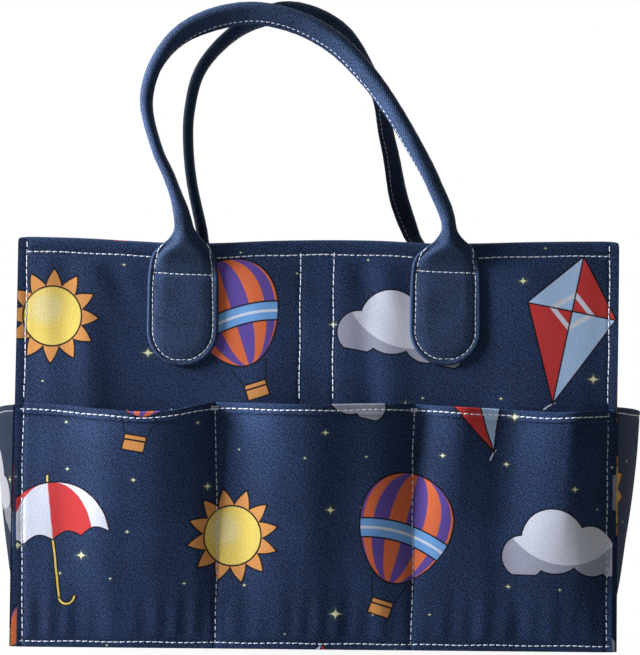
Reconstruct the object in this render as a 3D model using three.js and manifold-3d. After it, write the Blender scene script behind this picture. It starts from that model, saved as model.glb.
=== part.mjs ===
// Diaper caddy: a rectangular padded fabric tote with outside pockets, two
// upright rolled handles and a lift-out padded divider.
// Millimetres, +Z up. The front faces -Y and the left side is -X. The origin
// is on the ground under the middle of the bag.
import * as THREE from 'three';
import { mergeVertices } from 'three/addons/utils/BufferGeometryUtils.js';
import Module from 'manifold-3d';

const wasm = await Module();
wasm.setup();

// Body of the bag
const bodyWidth = 380;        // tip to tip of the stitched corner fins
const bodyDepth = 180;        // outer face of the front panel to that of the back
const bodyHeight = 258;       // ground to rim
const finWidth = 6;           // corner seam that stands out past the side panels

// Layers of a wall, from outside to inside
const twill = 0.8;            // printed twill cloth
const foam = 3;               // padding that stiffens the walls
const lining = 0.5;           // plain inner cloth
const board = 3;              // stiff sheet in the base
const hemLip = 14;            // how far the folded rim reaches down inside
const seamTurn = 8;           // turned-up edge of the base cloth
const looseFit = 0.3;         // room between soft layers that aren't sewn flat

// Outside pockets
const pocketHeight = 154;     // ground to pocket mouth
const pocketCloth = 1.2;      // doubled pocket cloth
const pocketHem = 2;          // thickness of the folded hem at the mouth
const pocketHemHeight = 9;
const pocketsAcross = 3;      // pockets on the front, and on the back
const pocketGape = 15;        // how far a front pocket stands out at its mouth
const pocketSag = 5;          // dip of an end pocket's mouth between its seams
const middleSag = 1.5;        // the same for a pocket with neighbours on both sides
const sidePocketGape = 27;    // how far a side pocket stands out at its mouth

// Handle tabs, sewn flat on the front and back panels
const tabSpacing = 166;       // centre to centre
const frontTabShift = -1.4;   // the front pair is sewn this far left of the middle
const tabWidth = 45;
const tabNeckWidth = 26;
const tabReach = 80;          // rim down to the round end
const tabShoulder = 34;       // height over which the neck widens
const tabThickness = 3;
const tabSkin = 1;
const tabBorder = 4;          // flat sewn edge around the pad
const tabPad = 1.7;

// Rolled handles
const hingeDrop = 1;          // bending line below the rim
const hingeGap = 0.4;         // room between the flattened neck and the tab's face
const hingeTopGap = 0.8;      // and above the tab's top edge
const neckThickness = 4.4;
const neckLength = 22;        // neck to the full rope section
const frontRise = 144.6;      // bending line to the middle of the rope at its top
const backRise = 176.6;
const ropeGirth = 23;         // width plus thickness of the rolled strap
const rollAtNeck = 10;        // the roll's width in the arch's plane: over the left neck,
const rollEdgeOn = 8.5;       // where it lies edge on,
const rollBroad = 14.5;       // where its broad side shows
const rollHalfTurned = 11;    // and where it is half turned
const handleCloth = 1;

// Divider across the middle, held by hook and loop tapes
const tapeWidth = 21;
const tapeThickness = 0.8;
const dividerFoam = 3;
const dividerCloth = 0.8;
const dividerFlange = 1.2;
const dividerDrop = 30;       // rim to the top of the divider

// Places that follow from the sizes above
const halfWidth = bodyWidth / 2;
const halfDepth = bodyDepth / 2;
const sideFace = halfWidth - finWidth;
const wall = twill + foam + lining;
const floorTop = twill + board + lining;
const rimUnder = bodyHeight - twill;
const hingeHeight = bodyHeight - hingeDrop;
const hingeStand = tabThickness + hingeGap + neckThickness / 2;
const innerHalfX = sideFace - wall;
const innerHalfY = halfDepth - wall;
const lipDepth = innerHalfY - twill;

// A box from its low corner to its high corner
function box(low, high) {
  const size = high.map((value, i) => value - low[i]);
  const middle = high.map((value, i) => (value + low[i]) / 2);
  return new THREE.BoxGeometry(...size).translate(...middle);
}

// An outline in (x, y) carried straight up
function column(outline, bottom, top) {
  const shape = new THREE.Shape(outline.map(([x, y]) => new THREE.Vector2(x, y)));
  const geometry = new THREE.ExtrudeGeometry(shape, { depth: top - bottom, bevelEnabled: false });
  return geometry.translate(0, 0, bottom);
}

// A closed mesh with shared corners as a solid that can be joined or cut
const mergeWithin = 1e-4;
function solid(geometry) {
  const bare = geometry.clone();
  bare.deleteAttribute('normal');
  bare.deleteAttribute('uv');
  const merged = mergeVertices(bare, mergeWithin);
  return new wasm.Manifold(new wasm.Mesh({
    numProp: 3,
    vertProperties: new Float32Array(merged.attributes.position.array),
    triVerts: new Uint32Array(merged.index.array),
  }));
}

function meshed(body) {
  const { vertProperties, triVerts } = body.getMesh();
  const geometry = new THREE.BufferGeometry();
  geometry.setAttribute('position', new THREE.BufferAttribute(vertProperties, 3));
  geometry.setIndex(new THREE.BufferAttribute(triVerts, 1));
  return geometry;
}

function join(...geometries) {
  return meshed(geometries.map(solid).reduce((whole, piece) => whole.add(piece)));
}

function cut(geometry, ...tools) {
  return meshed(tools.map(solid).reduce((whole, tool) => whole.subtract(tool), solid(geometry)));
}

// Points and triangles as a geometry whose faces point out, told by its volume
function closedMesh(points, triangles) {
  const volume = triangles.reduce((sum, [a, b, c]) => (
    sum + points[a].dot(new THREE.Vector3().crossVectors(points[b], points[c]))), 0);
  const facing = volume > 0 ? triangles : triangles.map(([a, b, c]) => [a, c, b]);
  const geometry = new THREE.BufferGeometry();
  const coordinates = points.flatMap((point) => point.toArray());
  geometry.setAttribute('position', new THREE.Float32BufferAttribute(coordinates, 3));
  geometry.setIndex(facing.flat());
  return geometry;
}

// Two triangles for each cell between rows of equal length, from a first index
function gridTriangles(rows, columns, first, flip) {
  const triangles = [];
  for (let j = 0; j < rows - 1; j++) {
    for (let i = 0; i < columns - 1; i++) {
      const a = first + j * columns + i;
      const cell = [[a, a + 1, a + columns + 1], [a, a + columns + 1, a + columns]];
      triangles.push(...cell.map(([p, q, r]) => (flip ? [p, r, q] : [p, q, r])));
    }
  }
  return triangles;
}

// A cloth sheet between an outer and an inner surface, closed along its edges
function clothSheet(outer, inner, across, up) {
  const rows = up.length;
  const columns = across.length;
  const points = [outer, inner].flatMap((surface) => (
    up.flatMap((v) => across.map((u) => surface(u, v)))));
  const far = rows * columns;
  const triangles = [
    ...gridTriangles(rows, columns, 0, false),
    ...gridTriangles(rows, columns, far, true),
  ];
  const bottom = across.map((_, i) => i);
  const right = up.slice(1).map((_, j) => (j + 2) * columns - 1);
  const top = across.slice(1).map((_, i) => far - 2 - i);
  const left = up.slice(1, -1).map((_, j) => (rows - 2 - j) * columns);
  const edge = [...bottom, ...right, ...top, ...left];
  edge.forEach((a, i) => {
    const b = edge[(i + 1) % edge.length];
    triangles.push([a, far + a, far + b], [a, far + b, b]);
  });
  return closedMesh(points, triangles);
}

// A tube through rings of points; with inner rings it is hollow and open at both ends
function ringTube(rings, innerRings) {
  const sides = rings[0].length;
  const last = rings.length - 1;
  const points = rings.flat();
  const triangles = [];
  const ringCell = (first, k, i, flip) => {
    const next = (i + 1) % sides;
    const a = first + k * sides;
    const cell = [[a + i, a + next, a + sides + next], [a + i, a + sides + next, a + sides + i]];
    triangles.push(...cell.map(([p, q, r]) => (flip ? [p, r, q] : [p, q, r])));
  };
  for (let k = 0; k < last; k++) {
    for (let i = 0; i < sides; i++) ringCell(0, k, i, false);
  }
  if (!innerRings) {
    [[0, true], [last, false]].forEach(([k, flip]) => {
      for (let i = 1; i < sides - 1; i++) {
        const fan = [k * sides, k * sides + i, k * sides + i + 1];
        triangles.push(flip ? [fan[0], fan[2], fan[1]] : fan);
      }
    });
    return closedMesh(points, triangles);
  }
  const far = points.length;
  points.push(...innerRings.flat());
  for (let k = 0; k < last; k++) {
    for (let i = 0; i < sides; i++) ringCell(far, k, i, true);
  }
  [[0, true], [last, false]].forEach(([k, flip]) => {
    for (let i = 0; i < sides; i++) {
      const a = k * sides + i;
      const b = k * sides + (i + 1) % sides;
      const cell = [[a, b, far + b], [a, far + b, far + a]];
      triangles.push(...cell.map(([p, q, r]) => (flip ? [p, r, q] : [p, q, r])));
    }
  });
  return closedMesh(points, triangles);
}

const caddy = new THREE.Group();

const navyTwill = { color: 0x2c3e63, roughness: 0.9, metalness: 0 };
const plainNavy = { color: 0x27395c, roughness: 0.88, metalness: 0 };
const innerCloth = { color: 0x30405f, roughness: 0.92, metalness: 0 };
const whiteFoam = { color: 0xe9e7e0, roughness: 0.95, metalness: 0 };
const greyBoard = { color: 0xb9b4a8, roughness: 0.8, metalness: 0 };
const softTape = { color: 0x1b2233, roughness: 1, metalness: 0 };
const cottonCore = { color: 0xe4ddcb, roughness: 1, metalness: 0 };

function addPiece(group, name, geometry, finish) {
  const piece = new THREE.Mesh(geometry, new THREE.MeshStandardMaterial(finish));
  piece.name = name;
  group.add(piece);
  return piece;
}

// Base: a cloth tray with turned-up edges, a stiff board and the lining on it
const trayHalfX = sideFace - twill;
const trayHalfY = halfDepth - twill;
const boardHalfX = trayHalfX - twill - looseFit;
const boardHalfY = trayHalfY - twill - looseFit;
addPiece(caddy, 'base_panel', cut(
  box([-trayHalfX, -trayHalfY, 0], [trayHalfX, trayHalfY, twill + seamTurn]),
  box([twill - trayHalfX, twill - trayHalfY, twill], [trayHalfX - twill, trayHalfY - twill, bodyHeight]),
), navyTwill);
addPiece(caddy, 'base_stiffener', box(
  [-boardHalfX, -boardHalfY, twill],
  [boardHalfX, boardHalfY, twill + board],
), greyBoard);
addPiece(caddy, 'base_lining', box(
  [-(sideFace - twill - foam), -(halfDepth - twill - foam), twill + board],
  [sideFace - twill - foam, halfDepth - twill - foam, floorTop],
), innerCloth);

// Front and back walls are alike, and the back one is turned half round. The
// rim is the panel's own cloth, folded over the top and down inside the lining.
const foamBottom = twill + seamTurn + looseFit;
const foamTop = rimUnder - looseFit;
const lipBottom = bodyHeight - hemLip;

function faceWall(side) {
  const group = new THREE.Group();
  const capHalf = trayHalfX - looseFit;
  const lipHalf = innerHalfX - looseFit;
  addPiece(group, `${side}_panel`, join(
    box([-halfWidth, -halfDepth, 0], [halfWidth, -trayHalfY, bodyHeight]),
    box([-capHalf, -halfDepth, rimUnder], [capHalf, -lipDepth, bodyHeight]),
    box([-lipHalf, -innerHalfY, lipBottom], [lipHalf, -lipDepth, bodyHeight]),
  ), navyTwill);
  addPiece(group, `${side}_stiffener`, box(
    [-trayHalfX, -trayHalfY, foamBottom],
    [trayHalfX, foam - trayHalfY, foamTop],
  ), whiteFoam);
  addPiece(group, `${side}_lining`, box(
    [foam - trayHalfX, foam - trayHalfY, floorTop],
    [trayHalfX - foam, -innerHalfY, foamTop],
  ), innerCloth);
  addPiece(group, `${side}_loop_tape`, box(
    [-tapeWidth / 2, -innerHalfY, floorTop + looseFit],
    [tapeWidth / 2, tapeThickness - innerHalfY, lipBottom - looseFit],
  ), softTape);
  caddy.add(group);
  return group;
}

// Side walls: a channel whose edges turn outwards into the corner fins
function sideWall(side) {
  const group = new THREE.Group();
  const channel = [
    [-trayHalfX, -trayHalfY], [-halfWidth, -trayHalfY], [-halfWidth, twill - trayHalfY],
    [-sideFace, twill - trayHalfY], [-sideFace, trayHalfY - twill],
    [-halfWidth, trayHalfY - twill], [-halfWidth, trayHalfY], [-trayHalfX, trayHalfY],
  ];
  const lipHalf = lipDepth - looseFit;
  addPiece(group, `${side}_panel`, join(
    column(channel, 0, bodyHeight),
    box([-sideFace, -lipHalf, rimUnder], [twill - innerHalfX, lipHalf, bodyHeight]),
    box([-innerHalfX, -lipHalf, lipBottom], [twill - innerHalfX, lipHalf, bodyHeight]),
  ), navyTwill);
  addPiece(group, `${side}_stiffener`, box(
    [-trayHalfX, foam - trayHalfY, foamBottom],
    [foam - trayHalfX, trayHalfY - foam, foamTop],
  ), whiteFoam);
  addPiece(group, `${side}_lining`, box(
    [foam - trayHalfX, -innerHalfY, floorTop],
    [-innerHalfX, innerHalfY, foamTop],
  ), innerCloth);
  caddy.add(group);
  return group;
}

const frontWall = faceWall('front');
const backWall = faceWall('back');
backWall.rotation.z = Math.PI;
const leftWall = sideWall('left');
const rightWall = sideWall('right');
rightWall.rotation.z = Math.PI;

// Pockets: one cloth strip along each wall, sewn down at its ends, along the
// bottom and at the seams between, and standing out in a curve at each mouth
const facePocketSteps = 7;     // flats across one bulge of a front or back pocket
const sidePocketSteps = 10;
const pocketRowSteps = 5;
const hemRollHeight = 0.5;     // height over which the cloth thickens into its hem
const hemStart = 1 - pocketHemHeight / pocketHeight;
const hemFull = hemStart + hemRollHeight / pocketHeight;
const evenSteps = (count) => Array.from({ length: count + 1 }, (_, i) => i / count);
const pocketRows = [...evenSteps(pocketRowSteps).map((v) => v * hemStart), hemFull, 1];
const pocketThickness = (v) => (v > hemStart ? pocketHem : pocketCloth);
const fullness = (v) => 1 - (1 - v) ** 2;

function facePocket(group, side) {
  const swell = (u) => Math.abs(Math.sin(Math.PI * u * pocketsAcross));
  const sag = (u) => {
    const inEndPocket = Math.min(u, 1 - u) < 1 / pocketsAcross;
    return (inEndPocket ? pocketSag : middleSag) * swell(u);
  };
  const surface = (extra) => (u, v) => new THREE.Vector3(
    (u - 0.5) * bodyWidth,
    -halfDepth - looseFit - pocketGape * swell(u) * fullness(v) - extra(v),
    v * (pocketHeight - sag(u)),
  );
  const across = evenSteps(facePocketSteps * pocketsAcross);
  const strip = clothSheet(surface(pocketThickness), surface(() => 0), across, pocketRows);
  addPiece(group, `${side}_pocket`, strip, navyTwill);
}

// A side pocket stands out in a fuller curve and narrows straight to the ground
function sidePocket(group, side) {
  const boxiness = 0.8;
  const halfSpan = trayHalfY - twill - looseFit;
  const surface = (extra) => (u, v) => new THREE.Vector3(
    -sideFace - looseFit - sidePocketGape * Math.sin(Math.PI * u) ** boxiness * v - extra(v),
    (0.5 - u) * 2 * halfSpan,
    v * pocketHeight,
  );
  const strip = clothSheet(surface(pocketThickness), surface(() => 0), evenSteps(sidePocketSteps), pocketRows);
  addPiece(group, `${side}_pocket`, strip, navyTwill);
}

facePocket(frontWall, 'front');
facePocket(backWall, 'back');
sidePocket(leftWall, 'left');
sidePocket(rightWall, 'right');

// Tabs: the ends of each handle's cloth, opened flat into a paddle over a
// thin pad and sewn to the panel all round
const tabCurveSteps = 6;
const tabTop = hingeHeight - hingeTopGap;
const tabBottom = bodyHeight - tabReach;

function paddle(inset) {
  const neck = tabNeckWidth / 2 - inset;
  const half = tabWidth / 2 - inset;
  const top = tabTop - inset;
  const shoulder = tabTop - tabShoulder;
  const round = tabBottom + tabWidth / 2;
  const flare = neck + (half - neck) * 0.8;
  const flareHeight = top - tabShoulder * 0.25;
  const easeHeight = shoulder + tabShoulder * 0.4;
  const outline = new THREE.Shape();
  outline.moveTo(neck, top);
  outline.bezierCurveTo(flare, flareHeight, half, easeHeight, half, shoulder);
  outline.lineTo(half, round);
  outline.absarc(0, round, half, 0, -Math.PI, true);
  outline.lineTo(-half, shoulder);
  outline.bezierCurveTo(-half, easeHeight, -flare, flareHeight, -neck, top);
  return outline;
}

// An upright outline in (x, z) carried along y, outwards from the front panel
function uprightPlate(outline, from, to) {
  const geometry = new THREE.ExtrudeGeometry(outline, {
    depth: to - from, bevelEnabled: false, curveSegments: tabCurveSteps,
  });
  return geometry.rotateX(Math.PI / 2).translate(0, -halfDepth - from, 0);
}

function tab(group, side, place, x) {
  const recess = tabThickness - tabSkin;
  const cover = cut(
    uprightPlate(paddle(0), 0, tabThickness),
    uprightPlate(paddle(tabBorder), -tabSkin, recess),
  );
  addPiece(group, `${side}_${place}_tab`, cover, plainNavy).position.x = x;
  const pad = uprightPlate(paddle(tabBorder + looseFit), 0, tabPad);
  addPiece(group, `${side}_${place}_tab_pad`, pad, whiteFoam).position.x = x;
}

tab(frontWall, 'front', 'left', frontTabShift - tabSpacing / 2);
tab(frontWall, 'front', 'right', frontTabShift + tabSpacing / 2);
tab(backWall, 'back', 'right', -tabSpacing / 2);
tab(backWall, 'back', 'left', tabSpacing / 2);

// Handles: a soft rope core inside a cloth tube. Each stands up in a leaning
// arch. The arch is drawn in half tab spacings across and in rises up.
const frontArch = [
  [-1.02, 0], [-1.07, 0.17], [-1.2, 0.39], [-1.29, 0.61], [-1.23, 0.77], [-1.04, 0.91],
  [-0.51, 1], [0.1, 0.91], [0.41, 0.74], [0.87, 0.27], [0.99, 0.12], [1.02, 0],
];
const backArch = [
  [-1, 0], [-1.02, 0.1], [-1.1, 0.31], [-1.12, 0.6], [-1.03, 0.77], [-0.66, 0.94],
  [-0.3, 1], [0.25, 0.91], [0.46, 0.75], [0.6, 0.45], [0.7, 0.24], [0.84, 0.09], [1, 0],
];

function handlePath(arch, rise) {
  return new THREE.CatmullRomCurve3(
    arch.map(([x, z]) => new THREE.Vector3(x * tabSpacing / 2, 0, z * rise)),
  );
}

const ropeSides = 8;
const neckSteps = 4;
const archSteps = 26;

// Width in the arch's plane by the share of the way along: the roll lies edge
// on in the left leg, broad at the top and half turned in the right leg
const rollWidths = [
  [0, rollAtNeck], [0.2, rollEdgeOn], [0.5, rollBroad], [0.8, rollHalfTurned], [1, rollHalfTurned],
];
function rollWidth(share) {
  const next = Math.max(1, rollWidths.findIndex(([at]) => at >= share));
  const [from, low] = rollWidths[next - 1];
  const [to, high] = rollWidths[next];
  return low + (high - low) * THREE.MathUtils.smoothstep(share, from, to);
}

// Rings square to the path, but level at the necks, where the cloth is flat
function handleRings(path, inset, coreOnly) {
  const length = path.getLength();
  const neckShare = neckLength / length;
  const rising = evenSteps(neckSteps).map((step) => step * neckShare);
  const over = evenSteps(archSteps).map((step) => neckShare + step * (1 - 2 * neckShare));
  const falling = [...rising].reverse().map((share) => 1 - share);
  const shares = coreOnly ? over : [...rising, ...over.slice(1, -1), ...falling];
  return shares.map((share) => {
    const centre = path.getPointAt(share);
    const toEnd = Math.min(share, 1 - share) * length;
    const rolled = THREE.MathUtils.smoothstep(toEnd, 0, neckLength);
    const upright = new THREE.Vector3(0, 0, share < 0.5 ? 1 : -1);
    const along = upright.lerp(path.getTangentAt(share), rolled).normalize();
    const across = new THREE.Vector3(along.z, 0, -along.x);
    const width = THREE.MathUtils.lerp(tabNeckWidth, rollWidth(share), rolled) - 2 * inset;
    const full = ropeGirth - rollWidth(share);
    const thick = THREE.MathUtils.lerp(neckThickness, full, rolled) - 2 * inset;
    return evenSteps(ropeSides).slice(1).map((turn) => {
      const angle = 2 * Math.PI * (turn + 0.5 / ropeSides);
      const point = centre.clone().addScaledVector(across, width / 2 * Math.cos(angle));
      point.y += thick / 2 * Math.sin(angle);
      return point;
    });
  });
}

function handle(side, arch, rise, facing, shift) {
  const group = new THREE.Group();
  group.position.set(shift, facing * (halfDepth + hingeStand), hingeHeight);
  const path = handlePath(arch, rise);
  const cover = ringTube(handleRings(path, 0), handleRings(path, handleCloth));
  const core = ringTube(handleRings(path, handleCloth + looseFit, true));
  addPiece(group, `${side}_handle_cover`, cover, plainNavy);
  addPiece(group, `${side}_handle_core`, core, cottonCore);
  caddy.add(group);
}

handle('front', frontArch, frontRise, -1, frontTabShift);
handle('back', backArch, backRise, 1, 0);

// Divider: a padded cross wall in a cloth pouch, with a flange and a hook
// tape at each end that grips the loop tape on the wall
const hookFace = lipDepth - looseFit;
const flangeOuter = hookFace - tapeThickness;
const flangeInner = flangeOuter - dividerFlange;
const dividerBottom = floorTop + looseFit;
const dividerTop = bodyHeight - dividerDrop;
const pouchHalf = dividerFoam / 2 + looseFit + dividerCloth;
const pouchHollow = pouchHalf - dividerCloth;
const foamHalfY = flangeInner - dividerCloth - looseFit;

const divider = new THREE.Group();
addPiece(divider, 'divider_cover', cut(
  join(
    box([-pouchHalf, -flangeOuter, dividerBottom], [pouchHalf, flangeOuter, dividerTop]),
    box([-tapeWidth / 2, -flangeOuter, dividerBottom], [tapeWidth / 2, -flangeInner, dividerTop]),
    box([-tapeWidth / 2, flangeInner, dividerBottom], [tapeWidth / 2, flangeOuter, dividerTop]),
  ),
  box(
    [-pouchHollow, -foamHalfY - looseFit, 0],
    [pouchHollow, foamHalfY + looseFit, dividerTop - dividerCloth],
  ),
), innerCloth);
addPiece(divider, 'divider_stiffener', box(
  [-dividerFoam / 2, -foamHalfY, dividerBottom + looseFit],
  [dividerFoam / 2, foamHalfY, dividerTop - dividerCloth - looseFit],
), whiteFoam);
addPiece(divider, 'divider_front_hook_tape', box(
  [-tapeWidth / 2, -hookFace, dividerBottom + looseFit],
  [tapeWidth / 2, -flangeOuter, dividerTop - looseFit],
), softTape);
addPiece(divider, 'divider_back_hook_tape', box(
  [-tapeWidth / 2, flangeOuter, dividerBottom + looseFit],
  [tapeWidth / 2, hookFace, dividerTop - looseFit],
), softTape);
caddy.add(divider);

export default caddy;
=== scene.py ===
import math

import bmesh
import bpy
import numpy as np
from mathutils import Matrix, Vector


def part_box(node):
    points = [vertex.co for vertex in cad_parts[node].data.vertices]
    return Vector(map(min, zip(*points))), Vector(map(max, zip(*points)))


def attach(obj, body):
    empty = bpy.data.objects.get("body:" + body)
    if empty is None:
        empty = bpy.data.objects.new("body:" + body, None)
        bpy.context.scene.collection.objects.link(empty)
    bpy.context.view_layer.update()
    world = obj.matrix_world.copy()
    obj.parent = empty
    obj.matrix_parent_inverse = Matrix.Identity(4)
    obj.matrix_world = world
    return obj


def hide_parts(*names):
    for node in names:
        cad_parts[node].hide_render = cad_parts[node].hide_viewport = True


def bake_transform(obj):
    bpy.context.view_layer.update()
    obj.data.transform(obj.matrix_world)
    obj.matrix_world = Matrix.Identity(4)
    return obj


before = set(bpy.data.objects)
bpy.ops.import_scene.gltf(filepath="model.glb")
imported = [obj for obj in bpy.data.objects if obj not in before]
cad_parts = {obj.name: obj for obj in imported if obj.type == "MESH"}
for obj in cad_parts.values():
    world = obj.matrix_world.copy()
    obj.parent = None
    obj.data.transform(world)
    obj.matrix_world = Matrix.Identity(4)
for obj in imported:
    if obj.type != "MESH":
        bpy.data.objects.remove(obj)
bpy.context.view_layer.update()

MM = 0.001
PHOTO_HEIGHT = 655
FOCAL_PIXELS = 2368
SENSOR_WIDTH = 36
CAMERA_PLACE = Vector((0, -1.5862, 0.150))
PITCH, ROLL, YAW = (math.radians(angle) for angle in (2.016, 0.572, 0.092))

scene = bpy.context.scene
looking = Vector((math.sin(YAW) * math.cos(PITCH), math.cos(YAW) * math.cos(PITCH), math.sin(PITCH)))
level = Vector((math.cos(YAW), -math.sin(YAW), 0))
upright = level.cross(looking)
right = math.cos(ROLL) * level + math.sin(ROLL) * upright
upward = math.cos(ROLL) * upright - math.sin(ROLL) * level
camera = bpy.data.objects.new("camera", bpy.data.cameras.new("camera"))
camera.data.sensor_width = SENSOR_WIDTH
camera.data.lens = FOCAL_PIXELS * SENSOR_WIDTH / PHOTO_HEIGHT
camera_turn = Matrix((right, upward, -looking)).transposed().to_4x4()
camera.matrix_world = Matrix.Translation(CAMERA_PLACE) @ camera_turn
scene.collection.objects.link(camera)
scene.camera = camera

# The front and back walls: printed twill, 0.8 mm thick, that covers the foam board outside, folds over the
# rim in a round hem and ends in a narrow lip inside. The back wall is the same piece turned round.
front_low, front_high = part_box("front_panel")
foam_low, foam_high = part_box("front_stiffener")
side_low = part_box("right_panel")[0]
side_foam_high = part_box("right_stiffener")[1]
tab_low, tab_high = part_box("front_left_tab")

FACE_Y = -front_low.y
RIM_Z = front_high.z
FIN_X = front_high.x
SIDE_X = side_foam_high.x + (foam_low.y - front_low.y)
TWILL = foam_low.y - front_low.y
WALL_DEPTH = front_high.y - front_low.y
LAYER_GAP = 0.3 * MM
LIP_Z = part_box("front_loop_tape")[1].z + LAYER_GAP
LIP_X = side_low.x - LAYER_GAP
TAB_X = (tab_low.x + tab_high.x) / -2
HEM_STITCH = 9.5 * MM
FIN_STITCH = 5.6 * MM
BOTTOM_STITCH = 3.7 * MM
TAPE_STITCHES = (-10.2 * MM, 10.8 * MM)
NAVY_DARK, NAVY_LIGHT = (8, 13, 20), (70, 101, 151)
LEAN = 1.1 * MM
LEAN_START, LEAN_FULL = 115 * MM, 180 * MM
TWILL_PITCH = 1.4
FLECK_SCALE, FLECK_LENGTH = 1.0, 1.25
OUTLINE = 0.45
WALL_STEP = 3 * MM


def linear(red, green, blue):
    """A colour on the screen's 0 to 255 scale as the shader's linear one."""
    shares = np.array([red, green, blue]) / 255
    return [*np.where(shares <= 0.04045, shares / 12.92, ((shares + 0.055) / 1.055) ** 2.4), 1.0]


class Wire:
    """A socket of a finish's node tree. Operators on wires and numbers add the Math nodes for them."""

    def __init__(self, tree, socket=None):
        self.tree = tree
        self.socket = socket

    def node(self, kind, inputs=(), output=0, stops=(), **settings):
        """Adds a node: its settings, then the values or links of its inputs, by number or name."""
        made = self.tree.nodes.new(kind)
        for name, value in settings.items():
            setattr(made, name, value)
        for stop, (place, colour) in enumerate(stops):
            element = made.color_ramp.elements[stop] if stop < 2 else made.color_ramp.elements.new(place)
            element.position, element.color = place, colour
        for key, value in dict(inputs).items():
            if isinstance(value, Wire):
                self.tree.links.new(value.socket, made.inputs[key])
            else:
                made.inputs[key].default_value = value
        return Wire(self.tree, made.outputs[output] if len(made.outputs) else None)

    def maths(self, operation, *values, **settings):
        """A Math node of one operation on its values, which are wires or numbers."""
        return self.node("ShaderNodeMath", enumerate(values), operation=operation, **settings)

    def __add__(self, other):
        return self.maths("ADD", self, other)

    def __sub__(self, other):
        return self.maths("SUBTRACT", self, other)

    def __rsub__(self, other):
        return self.maths("SUBTRACT", other, self)

    def __mul__(self, other):
        return self.maths("MULTIPLY", self, other)

    def __truediv__(self, other):
        return self.maths("DIVIDE", self, other)

    def __mod__(self, other):
        return self.maths("FLOORED_MODULO", self, other)

    def __neg__(self):
        return self.maths("MULTIPLY", self, -1)

    def __abs__(self):
        return self.maths("ABSOLUTE", self)

    __radd__ = __add__
    __rmul__ = __mul__


def root(value):
    return value.maths("SQRT", value)


def sine(value):
    return value.maths("SINE", value)


def other_output(wire, key):
    """Another output of the node that a wire comes from."""
    return Wire(wire.tree, wire.socket.node.outputs[key])


def cloth_map(start):
    """The cloth's own map, and the places across and along it in mm."""
    cloth = start.node("ShaderNodeUVMap", uv_map="cloth")
    parts = start.node("ShaderNodeSeparateXYZ", {0: cloth})
    return cloth, parts * 1000, other_output(parts, 1) * 1000


def nearer(*shapes):
    """The least of some values: for distances outside an edge, the union of their shapes."""
    joined = shapes[0]
    for shape in shapes[1:]:
        joined = joined.maths("MINIMUM", joined, shape)
    return joined


def within(*shapes):
    """The greatest of some values: for distances outside an edge, what lies in every one of the shapes."""
    cut = shapes[0]
    for shape in shapes[1:]:
        cut = cut.maths("MAXIMUM", cut, shape)
    return cut


def disc(x, y, radius):
    """The distance outside a circle round the origin."""
    return root(x * x + y * y) - radius


def blend_colours(share, first, second):
    """The first colour where share is 0, the second where it is 1."""
    return share.node("ShaderNodeMix", {0: share, 6: first, 7: second}, output=2, data_type="RGBA")


def ink(under, colour, shape, edge=0.3):
    """Prints colour over under where shape, in mm outside its edge, is below zero."""
    cover = shape.maths("ADD", 0.5 - shape * (1 / edge), 0, use_clamp=True)
    return blend_colours(cover, under, linear(*colour))


def outlined(under, colour, shape, line=OUTLINE):
    """Prints a shape with a dark line round it."""
    return ink(ink(under, INK, shape - line), colour, shape + line)


INK = (20, 20, 28)
RED = (214, 62, 58)
ORANGE = (236, 116, 66)
PURPLE = (104, 80, 158)
SKY = (122, 176, 226)
PALE_SKY = (186, 214, 238)
YELLOW = (250, 218, 104)
AMBER = (232, 158, 84)
CHALK = (230, 230, 234)
SMOKE = (172, 172, 182)
CELL_WIDTH, CELL_HEIGHT = 108, 106
MOTIF_SIZE = 1.14
FAR_AWAY = 1000
SPECK_SCALE = 25.0


def balloon(under, x, y):
    """A striped balloon with a basket: an egg of half width 26 mm whose gores follow its roundness."""
    rise = (y - 7) / 31
    across = x / (26 * (1 + rise * 0.2))
    shell = (root(across * across + rise * rise) - 1) * 26
    turn = across / root(1.02 - rise * rise)
    gores = sine(turn.maths("ARCSINE", nearer(turn, 0.99)) * 8) * -4
    belt = (abs(rise + 0.08 + across * across * 0.14) - 0.17) * 31
    ropes = within(abs(abs(x) - 5.6 - (y + 36) * 0.35) - 0.4, abs(y + 29) - 6)
    basket = within(abs(x) - 6.2, abs(y + 38.5) - 4.4)
    colour = outlined(ink(under, INK, ropes), ORANGE, shell)
    stripes = ((PURPLE, gores), (INK, belt - OUTLINE), (SKY, belt + OUTLINE), (CHALK, abs(belt + 5.2) - 0.7))
    for shade, stripe in stripes:
        colour = ink(colour, shade, within(stripe, shell + OUTLINE))
    colour = outlined(colour, AMBER, basket)
    return ink(colour, INK, within(abs(y + 37) - 0.5, basket))


def kite(under, x, y):
    """A four-coloured kite with crossed spars and a waving tail with bows."""
    sail = within(abs(x) * 0.774 + y * 0.634 - 26.5, abs(x) * 0.904 - y * 0.428 - 17.5)
    inside, level = sail + OUTLINE, y - 11
    beside = abs(x - sine((y + 41) * 0.32) * 4)
    colour = ink(under, CHALK, within(beside - 0.6, abs(y + 54) - 14))
    for height, shade in ((-49, RED), (-59, YELLOW)):
        colour = outlined(colour, shade, within(abs(y - height) - beside * 0.75 - 0.4, beside - 4.6), 0.3)
    colour = outlined(colour, RED, sail)
    colour = ink(colour, PALE_SKY, within(x, -level, inside))
    colour = ink(colour, PALE_SKY, within(-x, level, inside))
    colour = ink(colour, CHALK, within(abs(abs(x) + abs(level) * 1.2 - 11) - 2, inside))
    return ink(colour, INK, within(nearer(abs(x), abs(level)) - 0.4, sail))


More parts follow.
